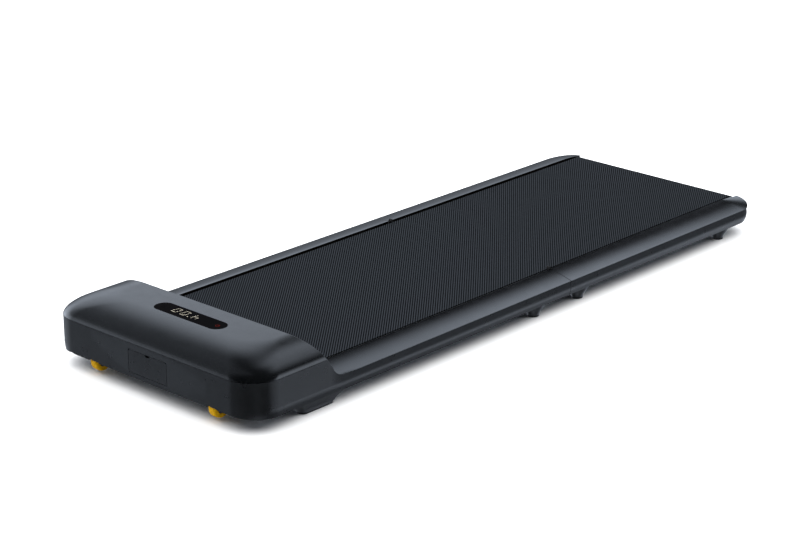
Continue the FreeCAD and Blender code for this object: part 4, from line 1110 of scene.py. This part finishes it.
DOME_POWER = 6.3
DOME_SPREAD = math.radians(120)
DOME_LEAN = (math.radians(-8), math.radians(-6), 0)
FILL_PLACE = Vector((-1.2, -4.2, 1.0))
FILL_AIM = Vector((0, -0.7, 0.05))
FILL_SIZE = (3.0, 1.4)
FILL_POWER = 10

CAMERA_PLACE = (2.77144, -3.10097, 1.5689)
CAMERA_TURN = math.radians(42.597)
CAMERA_RISE = math.radians(20.097)
CAMERA_LENS = 103.68
CAMERA_SENSOR = 36
CAMERA_CLIP = (0.1, 60)

scene = bpy.context.scene


def studio_floor():
    mesh = bpy.data.meshes.new("floor")
    bm = bmesh.new()
    bmesh.ops.create_grid(bm, x_segments=1, y_segments=1, size=FLOOR_HALF)
    bm.to_mesh(mesh)
    bm.free()
    material = bpy.data.materials.new("floor_white")
    material.use_nodes = True
    paint = material.node_tree.nodes["Principled BSDF"]
    paint.inputs["Base Color"].default_value = (FLOOR_TONE, FLOOR_TONE, FLOOR_TONE, 1)
    paint.inputs["Roughness"].default_value = 1
    paint.inputs["Specular IOR Level"].default_value = 0
    mesh.materials.append(material)
    floor = bpy.data.objects.new("floor", mesh)
    scene.collection.objects.link(floor)
    floor.location.z = -FLOOR_DROP
    floor.visible_glossy = False


def shade_ramp(tree, factor, stops):
    """Levels of light along a factor."""
    ramp = add_node(tree, "ShaderNodeValToRGB", {"Fac": factor})
    bands = ramp.color_ramp.elements
    bands[0].position = stops[0][0]
    bands[1].position = stops[-1][0]
    for place, _ in stops[1:-1]:
        bands.new(place)
    for band, (_, level) in zip(bands, stops):
        band.color = (level, level, level, 1)
    return ramp.outputs["Color"]


def joint_light(tree, kind, first, second):
    return add_node(tree, "ShaderNodeVectorMath", {0: first, 1: second}, operation=kind).outputs["Vector"]


def studio_sky():
    world = bpy.data.worlds.new("studio")
    world.use_nodes = True
    scene.world = world
    tree = world.node_tree
    way = add_node(tree, "ShaderNodeTexCoord").outputs["Generated"]
    height = add_node(tree, "ShaderNodeSeparateXYZ", {"Vector": way}).outputs["Z"]
    height = spread(tree, height, 0, 1, -1, 1)
    turn = add_node(tree, "ShaderNodeTexGradient", {"Vector": way}, gradient_type="RADIAL").outputs["Fac"]
    aside = add_node(tree, "ShaderNodeVectorMath", {0: way, 1: SIDE_GLOW_WAY}, operation="DOT_PRODUCT")
    near, full = SIDE_GLOW_SPAN
    reach = {"Value": aside.outputs["Value"], "From Min": near, "From Max": full, "To Max": SIDE_GLOW_LEVEL}
    sky = add_node(tree, "ShaderNodeMapRange", reach, interpolation_type="SMOOTHSTEP").outputs["Result"]
    for by_height, by_turn in (SKY, REAR_WINDOW, TAIL_WINDOW, CROWN_GLOW, FRONT_GLOW, FLOOR_GLOW):
        rise = shade_ramp(tree, height, by_height)
        sweep = shade_ramp(tree, turn, by_turn)
        sky = joint_light(tree, "ADD", sky, joint_light(tree, "MULTIPLY", rise, sweep))
    sky = joint_light(tree, "MULTIPLY", sky, SKY_TINT)
    tree.links.new(sky, tree.nodes["Background"].inputs["Color"])


def studio_lamps():
    dome = bpy.data.lights.new("dome", "SUN")
    dome.energy = DOME_POWER
    dome.angle = DOME_SPREAD
    overhead = bpy.data.objects.new("dome", dome)
    overhead.rotation_euler = DOME_LEAN
    fill = bpy.data.lights.new("front_fill", "AREA")
    fill.shape = "RECTANGLE"
    fill.size, fill.size_y = FILL_SIZE
    fill.energy = FILL_POWER
    softbox = bpy.data.objects.new("front_fill", fill)
    softbox.location = FILL_PLACE
    softbox.rotation_mode = "QUATERNION"
    softbox.rotation_quaternion = (FILL_AIM - FILL_PLACE).to_track_quat("-Z", "Y")
    for lamp in (overhead, softbox):
        lamp.visible_glossy = False
        scene.collection.objects.link(lamp)


def photo_camera():
    data = bpy.data.cameras.new("photo_view")
    data.sensor_width = CAMERA_SENSOR
    data.lens = CAMERA_LENS
    data.clip_start, data.clip_end = CAMERA_CLIP
    camera = bpy.data.objects.new("photo_view", data)
    level = math.cos(CAMERA_RISE)
    ahead = Vector((-math.sin(CAMERA_TURN) * level, math.cos(CAMERA_TURN) * level, -math.sin(CAMERA_RISE)))
    camera.location = CAMERA_PLACE
    camera.rotation_mode = "QUATERNION"
    camera.rotation_quaternion = ahead.to_track_quat("-Z", "Y")
    scene.collection.objects.link(camera)
    scene.camera = camera


scene.view_settings.view_transform = "Standard"
studio_floor()
studio_sky()
studio_lamps()
photo_camera()
